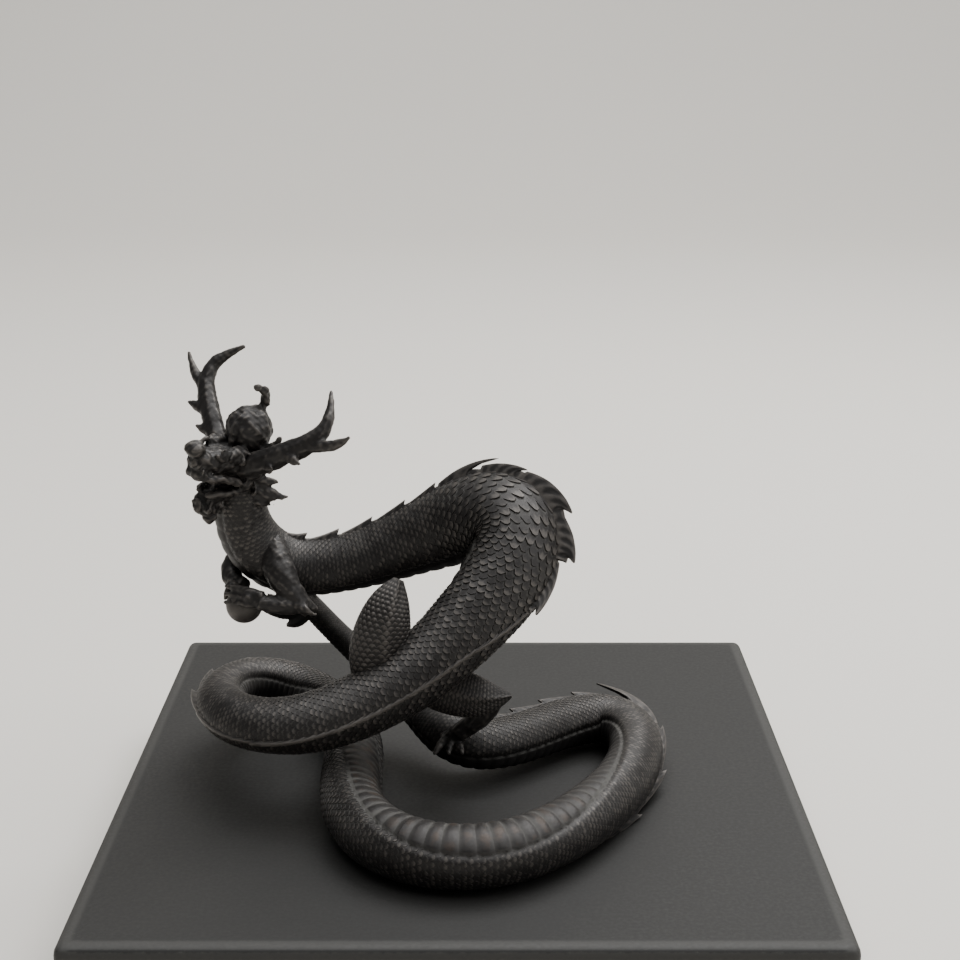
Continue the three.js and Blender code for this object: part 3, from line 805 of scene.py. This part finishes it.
def scaled_stretch(first, last, hide):
    """One stretch of body as a closed tube whose corners follow the edges of its scales."""
    spans, counts = row_scale(0, len(BODY_ROUTE) - 1, hide.pitch)
    row_first, row_last = (int(round(np.interp(end, spans, counts))) for end in (first, last))
    rows = np.arange(row_first + 1, row_last + 1)[:, None, None]
    stage = np.array([0, 1, 2])[None, :, None]
    segment = 4
    columns = np.arange(hide.columns * segment)[None, None, :] / segment
    angle = 2 * np.pi * columns / hide.columns

    def edge(row):
        inside = np.mod(columns + 0.5 * (row % 2), 1.0)
        return np.sqrt(np.clip(1 - 0.96 * (2 * inside - 1) ** 2, 0, 1))

    overlap = 0.85
    upper_edge = rows - 1 + overlap * edge(rows - 1) + 0.06
    lower_edge = rows + overlap * edge(rows)
    share = np.array([0.0, 0.55, 1.0])[None, :, None]
    scaled = upper_edge * (1 - share) + lower_edge * share
    straight = rows - 1 + 0.6 * overlap + np.array([0.06, 0.5, 1.0])[None, :, None]
    belly = ramp_between(np.abs(angle / np.pi - 1), 0.285, 0.245)
    place = scaled * (1 - belly) + straight * belly
    at_spans = np.interp(place, counts, spans)
    flat_spans = at_spans.reshape(len(at_spans) * 3, -1)
    angles = np.broadcast_to(angle, at_spans.shape).reshape(flat_spans.shape)
    station = Station(flat_spans)
    outward = station.outward(angles)
    corners = station.at + outward * station.skin(angles)[..., None]

    chance = np.random.default_rng(SEED)
    lifts = chance.uniform(0.7, 1.25, (int(counts[-1]) + 2, hide.columns + 1))
    which = np.floor(columns + 0.5 * (rows % 2)).astype(int) % hide.columns
    lift = lifts[np.broadcast_to(rows, which.shape), which]
    rise = np.array([0.0, 0.62, 1.0])[None, :, None] * lift * (0.72 + 0.28 * edge(rows))
    neck = (ramp_between(at_spans, 1.5, 6.0) * 0.75 + 0.25) * (1 - 0.4 * ramp_between(at_spans, 20, 29))
    thickness = station.radius.reshape(at_spans.shape) / 10.6
    scale_rise = rise * (1 - belly) * neck * thickness
    along_plate = (((rows - 1) % hide.rows_per_plate) + np.array([0.06, 0.5, 1.0])[None, :, None])
    along_plate = along_plate / hide.rows_per_plate
    swelling = np.sin(np.pi * (0.06 + 0.9 * along_plate)) ** 0.55 * (0.75 + 0.25 * along_plate)
    plate_rise = swelling * belly * thickness * (1 + 0.5 * ramp_between(at_spans, 28, 31))
    border = np.exp(-(((np.abs(angle / np.pi - 1) - 0.265) / 0.02) ** 2))
    plate_rise = plate_rise - 0.5 * border * thickness * neck * np.ones_like(at_spans)

    form = loft(corners)
    extra = 2
    count = corners.shape[0] * corners.shape[1]

    def stored(values):
        return np.concatenate([values.reshape(count), np.zeros(extra)])

    brown = belly * np.ones_like(at_spans)
    brown = brown * np.maximum(ramp_between(at_spans, 24.5, 26.5) * ramp_between(at_spans, 29.2, 28.2),
                               0.55 * ramp_between(at_spans, 28.5, 30.0) * ramp_between(at_spans, 33.5, 31.5))
    tail = ramp_between(at_spans, 43.2, 44.2) * ramp_between(np.sin(angle), 0.1, 0.7) * np.ones_like(at_spans)
    height = rise * (1 - belly) + (swelling * 0.75 - 0.2) * belly - border
    attributes = {
        "raised": stored(np.clip(height * 1.5 - 0.75, -1, 1)),
        "outward": np.vstack([outward.reshape(count, 3), np.zeros((extra, 3))]),
        "scale_rise": stored(scale_rise),
        "plate_rise": stored(plate_rise),
        "worn": stored(np.maximum(brown * 0.3, 0.8 * tail)),
    }
    return form, attributes


class BuildBody(bpy.types.Operator):
    """Build the scaled body in three stretches that meet under a row of scales"""

    bl_idname = "dragon.build_body"
    bl_label = "Scaled Body"

    def execute(self, context):
        hide = settings("dragon_hide")
        for name, (first, last) in BODY_STRETCHES.items():
            form, attributes = scaled_stretch(first, last, hide)
            piece = shown(f"body_{name}", mesh_of(f"body_{name}", form, attributes))
            run_tree(piece, hide_tree(), {
                "Scale lift": hide.scale_lift, "Plate lift": hide.plate_lift, "Roughness": hide.roughness,
                "Seed": float(SEED), "Material": bronze()})
            mesh = piece.data
            corners = read_corners(mesh)
            corners[:, 2] = np.maximum(corners[:, 2], (PLINTH_TOP + REST_GAP) * MM)
            mesh.vertices.foreach_set("co", corners.ravel())
            mesh.update()
            for key in ("outward", "scale_rise", "plate_rise"):
                mesh.attributes.remove(mesh.attributes[key])
            finished(piece, bronze(), "dragon", relief=0.12, sharp=50)
        return {"FINISHED"}


# ======================================================================================
# The fin
# ======================================================================================
def fin_stretch(first, last, teeth, ridge, tooth, rays, kind, ray_depth):
    """A crest of leaning, rayed teeth: each ray is a bent line from the back to the free edge."""
    pitch = (last - first) / teeth
    samples = max(rays * 6, 24)
    feet, leans, rises = FIN_TEETH[kind]
    share = np.arange(samples * teeth + 1) / samples
    whole = np.minimum(np.floor(share), teeth - 1)
    inside = share - whole
    foot = first + share * pitch
    tip = first + (whole + np.interp(inside, feet, leans)) * pitch
    rise = np.interp(inside, feet, rises)
    ray = np.cos(2 * np.pi * rays * inside)
    height = ridge + (tooth - ridge) * rise
    low = Station(foot)
    high = Station(tip)
    base = low.at + low.back * (low.radius * (1 + BODY_KEEL) - FIN_ROOT)[:, None]
    knee = low.at + low.back * (low.radius * (1 + BODY_KEEL) + 0.75 * height)[:, None]
    apex = high.at + high.back * (high.radius * (1 + BODY_KEEL) + height)[:, None]
    levels = np.linspace(0, 1, 7)
    left = []
    right = []
    for level in levels:
        middle = base * (1 - level) ** 2 + knee * 2 * level * (1 - level) + apex * level**2
        side = unit(low.side * (1 - level) + high.side * level)
        swell = 1 + ray_depth * ray * ramp_between(level, 0.1, 0.4)
        half = (FIN_HALF_ROOT * (1 - level) ** 1.3 + FIN_HALF_TIP * level**0.6) * swell
        left.append(middle + side * half[:, None])
        right.append(middle - side * half[:, None])
    rings = np.stack(left + right[::-1], axis=1)
    return loft(rings)


class BuildFin(bpy.types.Operator):
    """Build the rayed fin along the back"""

    bl_idname = "dragon.build_fin"
    bl_label = "Back Fin"

    def execute(self, context):
        form_settings = settings("dragon_form")
        forms = [fin_stretch(*row, form_settings.fin_ray) for row in FIN_STRETCHES]
        piece = shown("back_fin", mesh_of("back_fin", merged(forms)))
        mesh = piece.data
        corners = read_corners(mesh)
        corners[:, 2] = np.maximum(corners[:, 2], (PLINTH_TOP + REST_GAP) * MM)
        mesh.vertices.foreach_set("co", corners.ravel())
        mesh.update()
        finished(piece, bronze(), "dragon", relief=0.12, sharp=60)
        return {"FINISHED"}


# ======================================================================================
# Legs
# ======================================================================================
def scaled_leaf(points, flat, facing, columns=14, pitch=0.2, lift=0.3, ridge=0.0):
    """A thigh: a flattened closed form with rows of scales and a ridge down its middle."""
    count = len(points) - 1
    spans = np.linspace(0, count, 400)
    here = spline(points, spans)
    steps = np.linalg.norm(np.diff(here[:, :3], axis=0), axis=1)
    widest = np.max(here[:, 3])
    counts = np.concatenate([[0], np.cumsum(steps / (pitch * widest))])
    rows = np.arange(1, int(counts[-1]) + 2)[:, None, None]
    segment = 4
    columns_here = np.arange(columns * segment)[None, None, :] / segment
    angle = 2 * np.pi * columns_here / columns

    def edge(row):
        inside = np.mod(columns_here + 0.5 * (row % 2), 1.0)
        return np.sqrt(np.clip(1 - 0.96 * (2 * inside - 1) ** 2, 0, 1))

    upper = rows - 1 + 0.85 * edge(rows - 1) + 0.06
    lower = rows + 0.85 * edge(rows)
    share = np.array([0.0, 0.55, 1.0])[None, :, None]
    place = np.minimum(upper * (1 - share) + lower * share, counts[-1])
    at_spans = np.interp(place, counts, spans).reshape(len(rows) * 3, -1)
    angles = np.broadcast_to(angle, place.shape).reshape(at_spans.shape)
    here = spline(points, at_spans)
    ahead = spline(points, np.minimum(at_spans + 0.05, count))[..., :3]
    behind = spline(points, np.maximum(at_spans - 0.05, 0))[..., :3]
    along = unit(ahead - behind)
    facing = np.asarray(facing, float)
    thin = unit(facing - along * np.sum(along * facing, axis=-1, keepdims=True))
    wide = np.cross(along, thin)
    rise = (np.array([0.0, 0.62, 1.0])[None, :, None] * (0.7 + 0.3 * edge(rows))).reshape(at_spans.shape)
    crest = ridge * np.exp(-(((np.mod(angles, 2 * np.pi) - np.pi / 2) / 0.22) ** 2))
    reach = here[..., 3] + (lift * rise) * np.minimum(1, here[..., 3] / widest * 1.3)
    corners = here[..., :3] + wide * (reach * np.cos(angles))[..., None]
    corners = corners + thin * (reach * flat * np.sin(angles) + crest)[..., None]
    return loft(corners)


def foot(at, heading, spread, size, lean=0.0):
    """Three toes with talons, fanned round a heading in degrees."""
    toes = []
    for k in (-1, 0, 1):
        angle = math.radians(heading + spread * k)
        ahead = np.array([math.cos(angle), math.sin(angle), lean])
        start = np.asarray(at, float)
        toes.append(limb([[*start, 0.34 * size], [*(start + ahead * 0.55 * size + (0, 0, 0.12 * size)), 0.3 * size],
                          [*(start + ahead * 1.0 * size), 0.27 * size],
                          [*(start + ahead * 1.25 * size + (0, 0, -0.12 * size)), 0.2 * size]], sides=12, steps=4))
        toes.append(moved(claw(), start + ahead * 1.2 * size + (0, 0, -0.05 * size),
                          (0, math.degrees(-lean), heading + spread * k), size * 0.9))
    return toes


class BuildHindLegs(bpy.types.Operator):
    """Build the leaf-shaped thighs, the shins and the hind feet"""

    bl_idname = "dragon.build_hind_legs"
    bl_label = "Hind Legs"

    def execute(self, context):
        near_thigh = scaled_leaf([
            [-17, -14.5, 27, 6.8], [-18.6, -17, 36, 7.4], [-17.4, -17.4, 43.6, 6.4], [-15.4, -16, 50, 4.4],
            [-13.8, -15, 53.6, 1.2]], 0.6, (0.3, -1, 0.2), columns=22, pitch=0.14, lift=0.17, ridge=0.5)
        far_thigh = scaled_leaf([
            [-6, -13, 27, 5.5], [0.5, -14.5, 25.2, 5.6], [5.5, -15, 24.6, 4.4], [9.5, -15, 24.8, 2.2],
            [11.8, -15, 25.2, 0.5]], 0.7, (0, -1, 0.3), columns=20, pitch=0.15, lift=0.15, ridge=0.4)
        thighs = shown("hind_thighs", mesh_of("hind_thighs", merged([near_thigh, far_thigh])))
        finished(thighs, bronze(), "dragon", relief=0.12, sharp=55)
        near_shin = limb([[-15.5, -13, 49, 1.6], [-20.5, -12, 42.5, 2.7], [-23, -12, 35, 2.4], [-22, -12, 28, 2.2]],
                         flutes=5, flute_depth=0.05)
        far_shin = limb([[9, -14.5, 24, 1.4], [5.5, -14, 19.5, 2.4], [0, -12.5, 15, 2.3], [-3.5, -10.5, 11.5, 2]],
                        flutes=5, flute_depth=0.05)
        toes = [limb([[-2, -10.5, 13, 1.3], [-2.6 + spread, -13.5, 12.6, 1.2],
                      [-2.8 + 1.5 * spread, -16, 10.6, 0.35]], sides=12, steps=5) for spread in (-2.2, 0, 2.2)]
        shins = shown("hind_shins", mesh_of("hind_shins", merged([near_shin, far_shin, *toes])))
        fused(shins, settings("dragon_form").limb_grain)
        chased(shins, ((1.6, 0.10), (0.7, 0.06)))
        finished(shins, bronze(), "dragon")
        return {"FINISHED"}


class BuildFrontLegs(bpy.types.Operator):
    """Build the two front legs whose claws close on the ball"""

    bl_idname = "dragon.build_front_legs"
    bl_label = "Front Legs and Ball"

    def execute(self, context):
        near_arm = limb([[-44.5, -0.5, 59.5, 2.6], [-43.2, -4.4, 56.8, 3.6], [-41.8, -8.0, 53.5, 3.9],
                         [-39.4, -10.3, 49.5, 3], [-36.4, -10.2, 45.8, 2.4], [-33.2, -8.8, 44, 0.6]],
                        flutes=4, flute_depth=0.02)
        near_forearm = limb([[-36, -10, 46, 2.2], [-39.6, -11.6, 45.8, 2.3], [-43, -12.4, 46.6, 1.9],
                             [-46, -12.6, 47, 1.8]], flutes=5, flute_depth=0.07)
        folds = [limb([[-38.8 + 1.3 * k, -9.8, 48.6 - 0.5 * k, 0.5], [-38.3 + 1.3 * k, -12.8, 47.4 - 0.6 * k, 0.7],
                       [-36.6 + 1.3 * k, -13, 44.9 - 0.3 * k, 0.6], [-35.6 + 1.2 * k, -10.6, 43.4, 0.4]], sides=8,
                      steps=4) for k in range(3)]
        near_fingers = [limb([[-45, -12.4, 46.8 + 0.8 * k, 1.3], [-49.5, -12.6 + 0.6 * k, 46.9 + 1.4 * k, 1.1],
                              [-54.3, -9.8 + k, 46.2 + 1.6 * k, 0.45]], sides=12, steps=6) for k in range(3)]
        far_arm = limb([[-49, 2.5, 54, 3.8], [-53, 2.6, 52.2, 3.1], [-54.4, 0.2, 49.6, 2.4],
                        [-52.5, -3.6, 48.6, 2.2], [-50, -6, 49, 1.8]], flutes=4, flute_depth=0.06)
        far_fingers = [limb([[-51.4, -4.8, 49, 1.3], [-53.8, -6.2 + 1.2 * k, 48.4, 1.1],
                             [-54.6, -7.2 + 1.8 * k, 45.6 - 0.4 * k, 0.4]], sides=12, steps=6) for k in range(3)]
        knuckles = [lump((-52.8 - 0.4 * k, -7.4 + 2.2 * k, 49.6 - 0.5 * k), (1.2, 1.1, 1.1), 12) for k in range(3)]
        knuckles += [lump((-46.6 - 1.6 * k, -12.6, 47.6 + 0.8 * k), (1.2, 1.2, 1.1), 12) for k in range(2)]
        legs = shown("front_legs", mesh_of("front_legs", merged([
            near_arm, near_forearm, *folds, *near_fingers, far_arm, *far_fingers, *knuckles])))
        fused(legs, settings("dragon_form").limb_grain)
        chased(legs, ((1.6, 0.10), (0.7, 0.06)))
        finished(legs, bronze(), "dragon")
        ball = shown("held_ball", mesh_of("held_ball", lump(BALL_AT, (BALL_RADIUS,) * 3, 48)))
        finished(ball, bronze(), "dragon")
        return {"FINISHED"}


# ======================================================================================
# The head, in its own frame: x to the nose, y to the dragon's left, z to the crown
# ======================================================================================
def antler(side):
    def horn(points, steps=8, **shape):
        rows = [[x, side * y, z, r] for x, y, z, r in points]
        return limb(rows, sides=20, steps=steps, flat=0.8, facing=(1, 0, 0), flutes=7, flute_depth=0.05, **shape)

    return [
        horn([[2, 2.5, 0.5, 2.6], [1.4, 7.2, 3.2, 2.7], [-0.4, 13, 8, 2.6], [-2.4, 18.8, 12.4, 2.3],
              [-4.8, 20, 17.6, 1.7], [-8.8, 14.6, 22.8, 0.5]]),
        horn([[-1.6, 16.5, 11, 1.8], [-2.6, 21.4, 12.8, 1.4], [-3.4, 25, 14.2, 1.1], [-3.8, 27.4, 17.2, 0.4]]),
        horn([[-0.2, 13.4, 8, 1.8], [0.6, 17.2, 7.8, 1.1], [1, 19.4, 8, 0.3]]),
        horn([[1, 8.5, 4.4, 1.6], [2.2, 11.6, 4.2, 1], [2.8, 13.4, 4.6, 0.3]]),
    ]


def skull():
    forms = [
        lump((-0.5, 0, 0.6), (6.4, 5.4, 5.2)),
        limb([[0, 0, 1.4, 4.6], [5, 0, 1.6, 4.2], [9.5, 0, 2, 3.6], [13.6, 0, 2.6, 2.6]], flat=0.8),
        lump((14, 0, 5), (2.2, 2.4, 2)),
        lump((11.6, 0, -0.6), (2.4, 3.4, 1.8)),
        limb([[-1, 0, -4.6, 3.8], [3.2, 0, -6, 3.3], [6.8, 0, -7, 2.8], [9, 0, -7, 1.7]], flat=0.55),
        limb([[1, 0, -3.4, 1.6], [4.5, 0, -3.7, 1.5], [8, 0, -3.2, 1.1], [10, 0, -2.6, 0.5]], flat=0.5),
    ]
    for side in (-1, 1):
        forms.append(lump((14.9, 1.2 * side, 5.0), (1.1, 0.9, 1.0), 16))
        forms.append(lump((4.6, 3.6 * side, 4.2), (3, 1.8, 2)))
        forms.append(lump((0, 5 * side, 1), (3, 2, 2.8)))
        forms.append(lump((6.6, 3.9 * side, 2.6), (1.3, 1.0, 1.2), 16))
        forms.append(limb([[13, 1.5 * side, -1.4, 0.7], [10.5, 3.6 * side, -0.9, 0.9], [6.5, 4.6 * side, -1.2, 0.9],
                           [3, 5.0 * side, -2.4, 0.8], [0.6, 4.6 * side, -4.2, 0.7]], sides=10, steps=6))
        forms.append(limb([[9.6, 1.2 * side, -6, 0.6], [7.6, 2.9 * side, -5.6, 0.8], [3.8, 3.9 * side, -4.8, 0.8],
                           [0.6, 4.5 * side, -4.0, 0.7]], sides=10, steps=6))
    return forms


def crown_knob():
    dome = lump((-0.9, 0, 8.6), (5.2, 5.4, 5.4), 36)
    seam = limb([[4, 0.4, 5, 0.8], [4.4, 0.4, 9.6, 0.9], [1.6, 0.3, 13.2, 0.9], [-2.6, 0.2, 13.6, 0.9]], sides=8,
                steps=8)
    tuft = limb([[-3, 0, 12.6, 1.2], [-4, 0.4, 15, 1.1], [-3, 0.8, 18, 1.1], [0.4, 0.8, 19, 0.7]], sides=10, steps=8,
                flutes=3, flute_depth=0.2)
    return [dome, seam, tuft]


def head_curls():
    """Rows for the curls: brow band, cheeks, beard and chin."""
    rows = []
    for side in (-1, 1):
        for k in range(6):
            share = k / 5
            rows.append([8.4 - 9.4 * share, side * (3.2 + 2.6 * math.sin(math.pi * 0.5 * share)), 4.6 - 1.2 * share,
                         -80 * side, 0, 40 * k, 1.7])
        for k in range(3):
            rows.append([1.4 - 1.9 * k, side * (5.2 + 0.3 * k), -2.4 - 1.4 * k, -90 * side, 0, 70 * k, 1.5])
        rows.append([8.2, side * 2.2, -8.6, -90 * side, 0, 30, 1.7])
        rows.append([5.6, side * 2.4, -9.2, -90 * side, 0, 120, 1.5])
        rows.append([12.4, side * 2.9, 0.6, -90 * side, 0, 200, 1.3])
    rows.append([10.4, 0, -8.6, 0, 90, 0, 1.6])
    rows.append([14.2, 0, 2.2, 0, 80, 0, 1.3])
    return rows


def head_locks():
    """Rows for the mane's pointed locks behind the jaw and for the ears."""
    rows = []
    for side in (-1, 1):
        for k in range(4):
            rows.append([-1.4, 4.4 * side, 1 - 2.4 * k, -20 * side, 14 + 4 * k, side * (146 - 4 * k), (4.8, 6.0, 8.4, 5.6)[k]])
        rows.append([-0.6, 4.2 * side, 3.0, 0, -40, side * 128, 8.2])
    return rows


def mouth_teeth():
    rows = []
    for side in (-1, 1):
        for k in range(5):
            rows.append([10.6 - 1.7 * k, side * (2.2 + 0.35 * k), -2.0, 180, 70, 0, 1.5 - 0.12 * k])
            rows.append([8.6 - 1.5 * k, side * (1.7 + 0.35 * k), -4.9, 0, -80, 0, 1.2 - 0.1 * k])
    return rows


class BuildHead(bpy.types.Operator):
    """Build the head with its curls, mane, teeth, crest and antlers"""

    bl_idname = "dragon.build_head"
    bl_label = "Head and Antlers"

    def execute(self, context):
        turn = Euler([math.radians(angle) for angle in HEAD_TURN], "XYZ").to_matrix()
        place = Matrix.Translation(HEAD_AT) @ turn.to_4x4()
        spin = np.array(place.to_3x3())
        tree = copies_tree()
        beard = [lump((7.6, 0, -9.4), (2.5, 2.7, 2.2)), lump((5.8, 0, -12.2), (1.6, 1.6, 1.7), 16)]
        parts = [*skull(), *crown_knob(), *beard,
                 planted(curl(), head_curls(), tree, bronze()),
                 planted(lock_of_mane(), head_locks(), tree, bronze()),
                 planted(claw(), mouth_teeth(), tree, bronze())]
        for name, forms in (("dragon_head", parts), ("antlers", [*antler(1), *antler(-1)])):
            corners, faces = merged(forms)
            piece = shown(name, mesh_of(name, (corners @ spin.T + np.asarray(HEAD_AT), faces)))
            fused(piece, settings("dragon_form").head_grain)
            chased(piece, ((1.5, 0.17), (0.75, 0.10)) if name == "dragon_head" else ((2.2, 0.12), (0.8, 0.05)))
            finished(piece, bronze(), "dragon")
        return {"FINISHED"}


# ======================================================================================
# The tail's tuft
# ======================================================================================
class BuildTailTuft(bpy.types.Operator):
    """Build the tuft of flame-shaped blades at the tail's end"""

    bl_idname = "dragon.build_tail_tuft"
    bl_label = "Tail Tuft"

    def execute(self, context):
        root = np.array([-37.6, 16.6, 34.6])
        tips = [(-37.4, 16, 42.4), (-42.4, 14.6, 43), (-47.6, 13, 39.6), (-48.6, 12.4, 35.4), (-43.4, 14, 30.8)]
        blades = []
        for tip in tips:
            belly = root * 0.5 + np.array(tip) * 0.5 + (0, -0.6, -1.1)
            blades.append(limb([[*root, 1.7], [*belly, 2.2], [*tip, 0.35]], sides=20, steps=10, flat=0.5,
                               facing=(0, 1, 0), flutes=8, flute_depth=0.08))
        piece = shown("tail_tuft", mesh_of("tail_tuft", merged(blades)))
        fused(piece, settings("dragon_form").limb_grain)
        finished(piece, bronze(), "dragon")
        return {"FINISHED"}


# ======================================================================================
# The plinth
# ======================================================================================
class BuildPlinth(bpy.types.Operator):
    """Build the square wooden plinth with softened, scuffed edges"""

    bl_idname = "dragon.build_plinth"
    bl_label = "Plinth"

    def execute(self, context):
        half = PLINTH_SIDE / 2
        soft = 2.2
        divisions = 90

        def levels(size):
            inner = np.linspace(-size + soft, size - soft, divisions if size > 20 else 18)
            rim = soft * (1 - np.cos(np.linspace(0, np.pi / 2, 5)[:-1]))
            return np.concatenate([-size + rim, inner, (size - rim)[::-1]])

        grids = []
        sizes = (half, half, PLINTH_TOP / 2)
        for axis in range(3):
            u_axis, v_axis = [k for k in range(3) if k != axis]
            u, v = np.meshgrid(levels(sizes[u_axis]), levels(sizes[v_axis]), indexing="ij")
            for sign in (-1, 1):
                corners = np.zeros((*u.shape, 3))
                corners[..., axis] = sign * sizes[axis]
                corners[..., u_axis] = u
                corners[..., v_axis] = v
                rows, cols = u.shape
                start = (np.arange(rows - 1)[:, None] * cols + np.arange(cols - 1)).ravel()
                faces = np.stack([start, start + cols, start + cols + 1, start + 1], axis=1)
                turned = (axis == 1) != (sign < 0)
                grids.append((corners.reshape(-1, 3), (faces[:, ::-1] if turned else faces).tolist()))
        corners, faces = merged(grids)
        limits = np.array(sizes) - soft
        core = np.clip(corners, -limits, limits)
        away = corners - core
        corners = core + unit(away) * np.minimum(np.linalg.norm(away, axis=1, keepdims=True), soft)
        corners = corners - (0, 0, PLINTH_TOP / 2)
        mesh = mesh_of("plinth_block", (corners, faces))
        piece = shown("plinth_block", mesh)
        weld = piece.modifiers.new("Weld", "WELD")
        weld.merge_threshold = 0.00002
        baked(piece)
        finished(piece, wood(), "plinth", relief=0.12)
        return {"FINISHED"}


# ======================================================================================
# The stage
# ======================================================================================
class BuildStage(bpy.types.Operator):
    """Set out the pale floor, the soft lights and the camera"""

    bl_idname = "dragon.build_stage"
    bl_label = "Studio"

    def execute(self, context):
        stage = settings("dragon_stage")
        profile = [(-1.4, 0.0), (1.1, 0.0)]
        profile += [(1.1 + 0.7 * math.sin(a), 0.7 - 0.7 * math.cos(a)) for a in np.linspace(0.08, math.pi / 2, 14)]
        profile += [(1.8, 2.6)]
        corners = []
        faces = []
        for k, (y, z) in enumerate(profile):
            corners += [(-2.6, y, z), (2.6, y, z)]
            if k:
                faces.append((2 * k - 2, 2 * k - 1, 2 * k + 1, 2 * k))
        mesh = bpy.data.meshes.new("floor")
        mesh.from_pydata(corners, [], faces)
        for polygon in mesh.polygons:
            polygon.use_smooth = True
        floor = shown("floor", mesh)
        mesh.materials.append(plain_matte("pale_floor", stage.floor))

        world = bpy.data.worlds.new("soft_room")
        world.use_nodes = True
        background = world.node_tree.nodes["Background"]
        background.inputs["Color"].default_value = (0.95, 0.97, 1.0, 1)
        background.inputs["Strength"].default_value = stage.room
        bpy.context.scene.world = world

        self.add_light("ceiling_softbox", (0.2, 0.3, 1.9), (0, 0.3, 0), 2.4, 60.0)
        self.add_light("overhead_softbox", (0.3, 0.3, 0.8), (0, 0, 0.08), 0.6, 6.0)
        self.add_light("side_softbox", (0.75, -0.25, 0.5), (0, 0, 0.06), 0.5, 2.2)

        camera_data = bpy.data.cameras.new("camera")
        camera_data.lens = stage.lens
        camera_data.sensor_width = 36
        camera = bpy.data.objects.new("camera", camera_data)
        camera.location = (0.0045, -0.3586, 0.2074)
        camera.rotation_euler = (math.radians(90 - 16.6), 0, 0)
        bpy.context.scene.collection.objects.link(camera)
        bpy.context.scene.camera = camera
        return {"FINISHED"}

    @staticmethod
    def add_light(name, at, towards, size, power):
        data = bpy.data.lights.new(name, "AREA")
        data.size = size
        data.energy = power
        light = bpy.data.objects.new(name, data)
        light.location = at
        light.rotation_euler = (Vector(towards) - Vector(at)).to_track_quat("-Z", "Y").to_euler()
        bpy.context.scene.collection.objects.link(light)


# ======================================================================================
# The panel and the run
# ======================================================================================
class DragonPanel(bpy.types.Panel):
    """Lists the settings and the steps of the dragon"""

    bl_idname = "VIEW3D_PT_coiled_dragon"
    bl_label = "Coiled Dragon"
    bl_space_type = "VIEW_3D"
    bl_region_type = "UI"
    bl_category = "Dragon"

    def draw(self, context):
        for attribute in SETTINGS:
            group = getattr(context.scene, attribute)
            box = self.layout.box()
            for name in group.bl_rna.properties.keys():
                if name not in ("rna_type", "name"):
                    box.prop(group, name)
        for operator in STEPS:
            self.layout.operator(operator.bl_idname)


SETTINGS = {
    "dragon_hide": DragonHideSettings,
    "dragon_form": DragonFormSettings,
    "dragon_finish": DragonFinishSettings,
    "dragon_stage": DragonStageSettings,
}
STEPS = [BuildStage, BuildPlinth, BuildBody, BuildFin, BuildHindLegs, BuildFrontLegs, BuildHead, BuildTailTuft]
CLASSES = [*SETTINGS.values(), *STEPS, DragonPanel]


def register():
    for kind in CLASSES:
        bpy.utils.register_class(kind)
    for attribute, kind in SETTINGS.items():
        setattr(bpy.types.Scene, attribute, bpy.props.PointerProperty(type=kind))


def unregister():
    for attribute in SETTINGS:
        delattr(bpy.types.Scene, attribute)
    for kind in reversed(CLASSES):
        bpy.utils.unregister_class(kind)


def main():
    register()
    bpy.ops.dragon.build_stage()
    bpy.ops.dragon.build_plinth()
    bpy.ops.dragon.build_body()
    bpy.ops.dragon.build_fin()
    bpy.ops.dragon.build_hind_legs()
    bpy.ops.dragon.build_front_legs()
    bpy.ops.dragon.build_head()
    bpy.ops.dragon.build_tail_tuft()


if __name__ == "__main__":
    main()
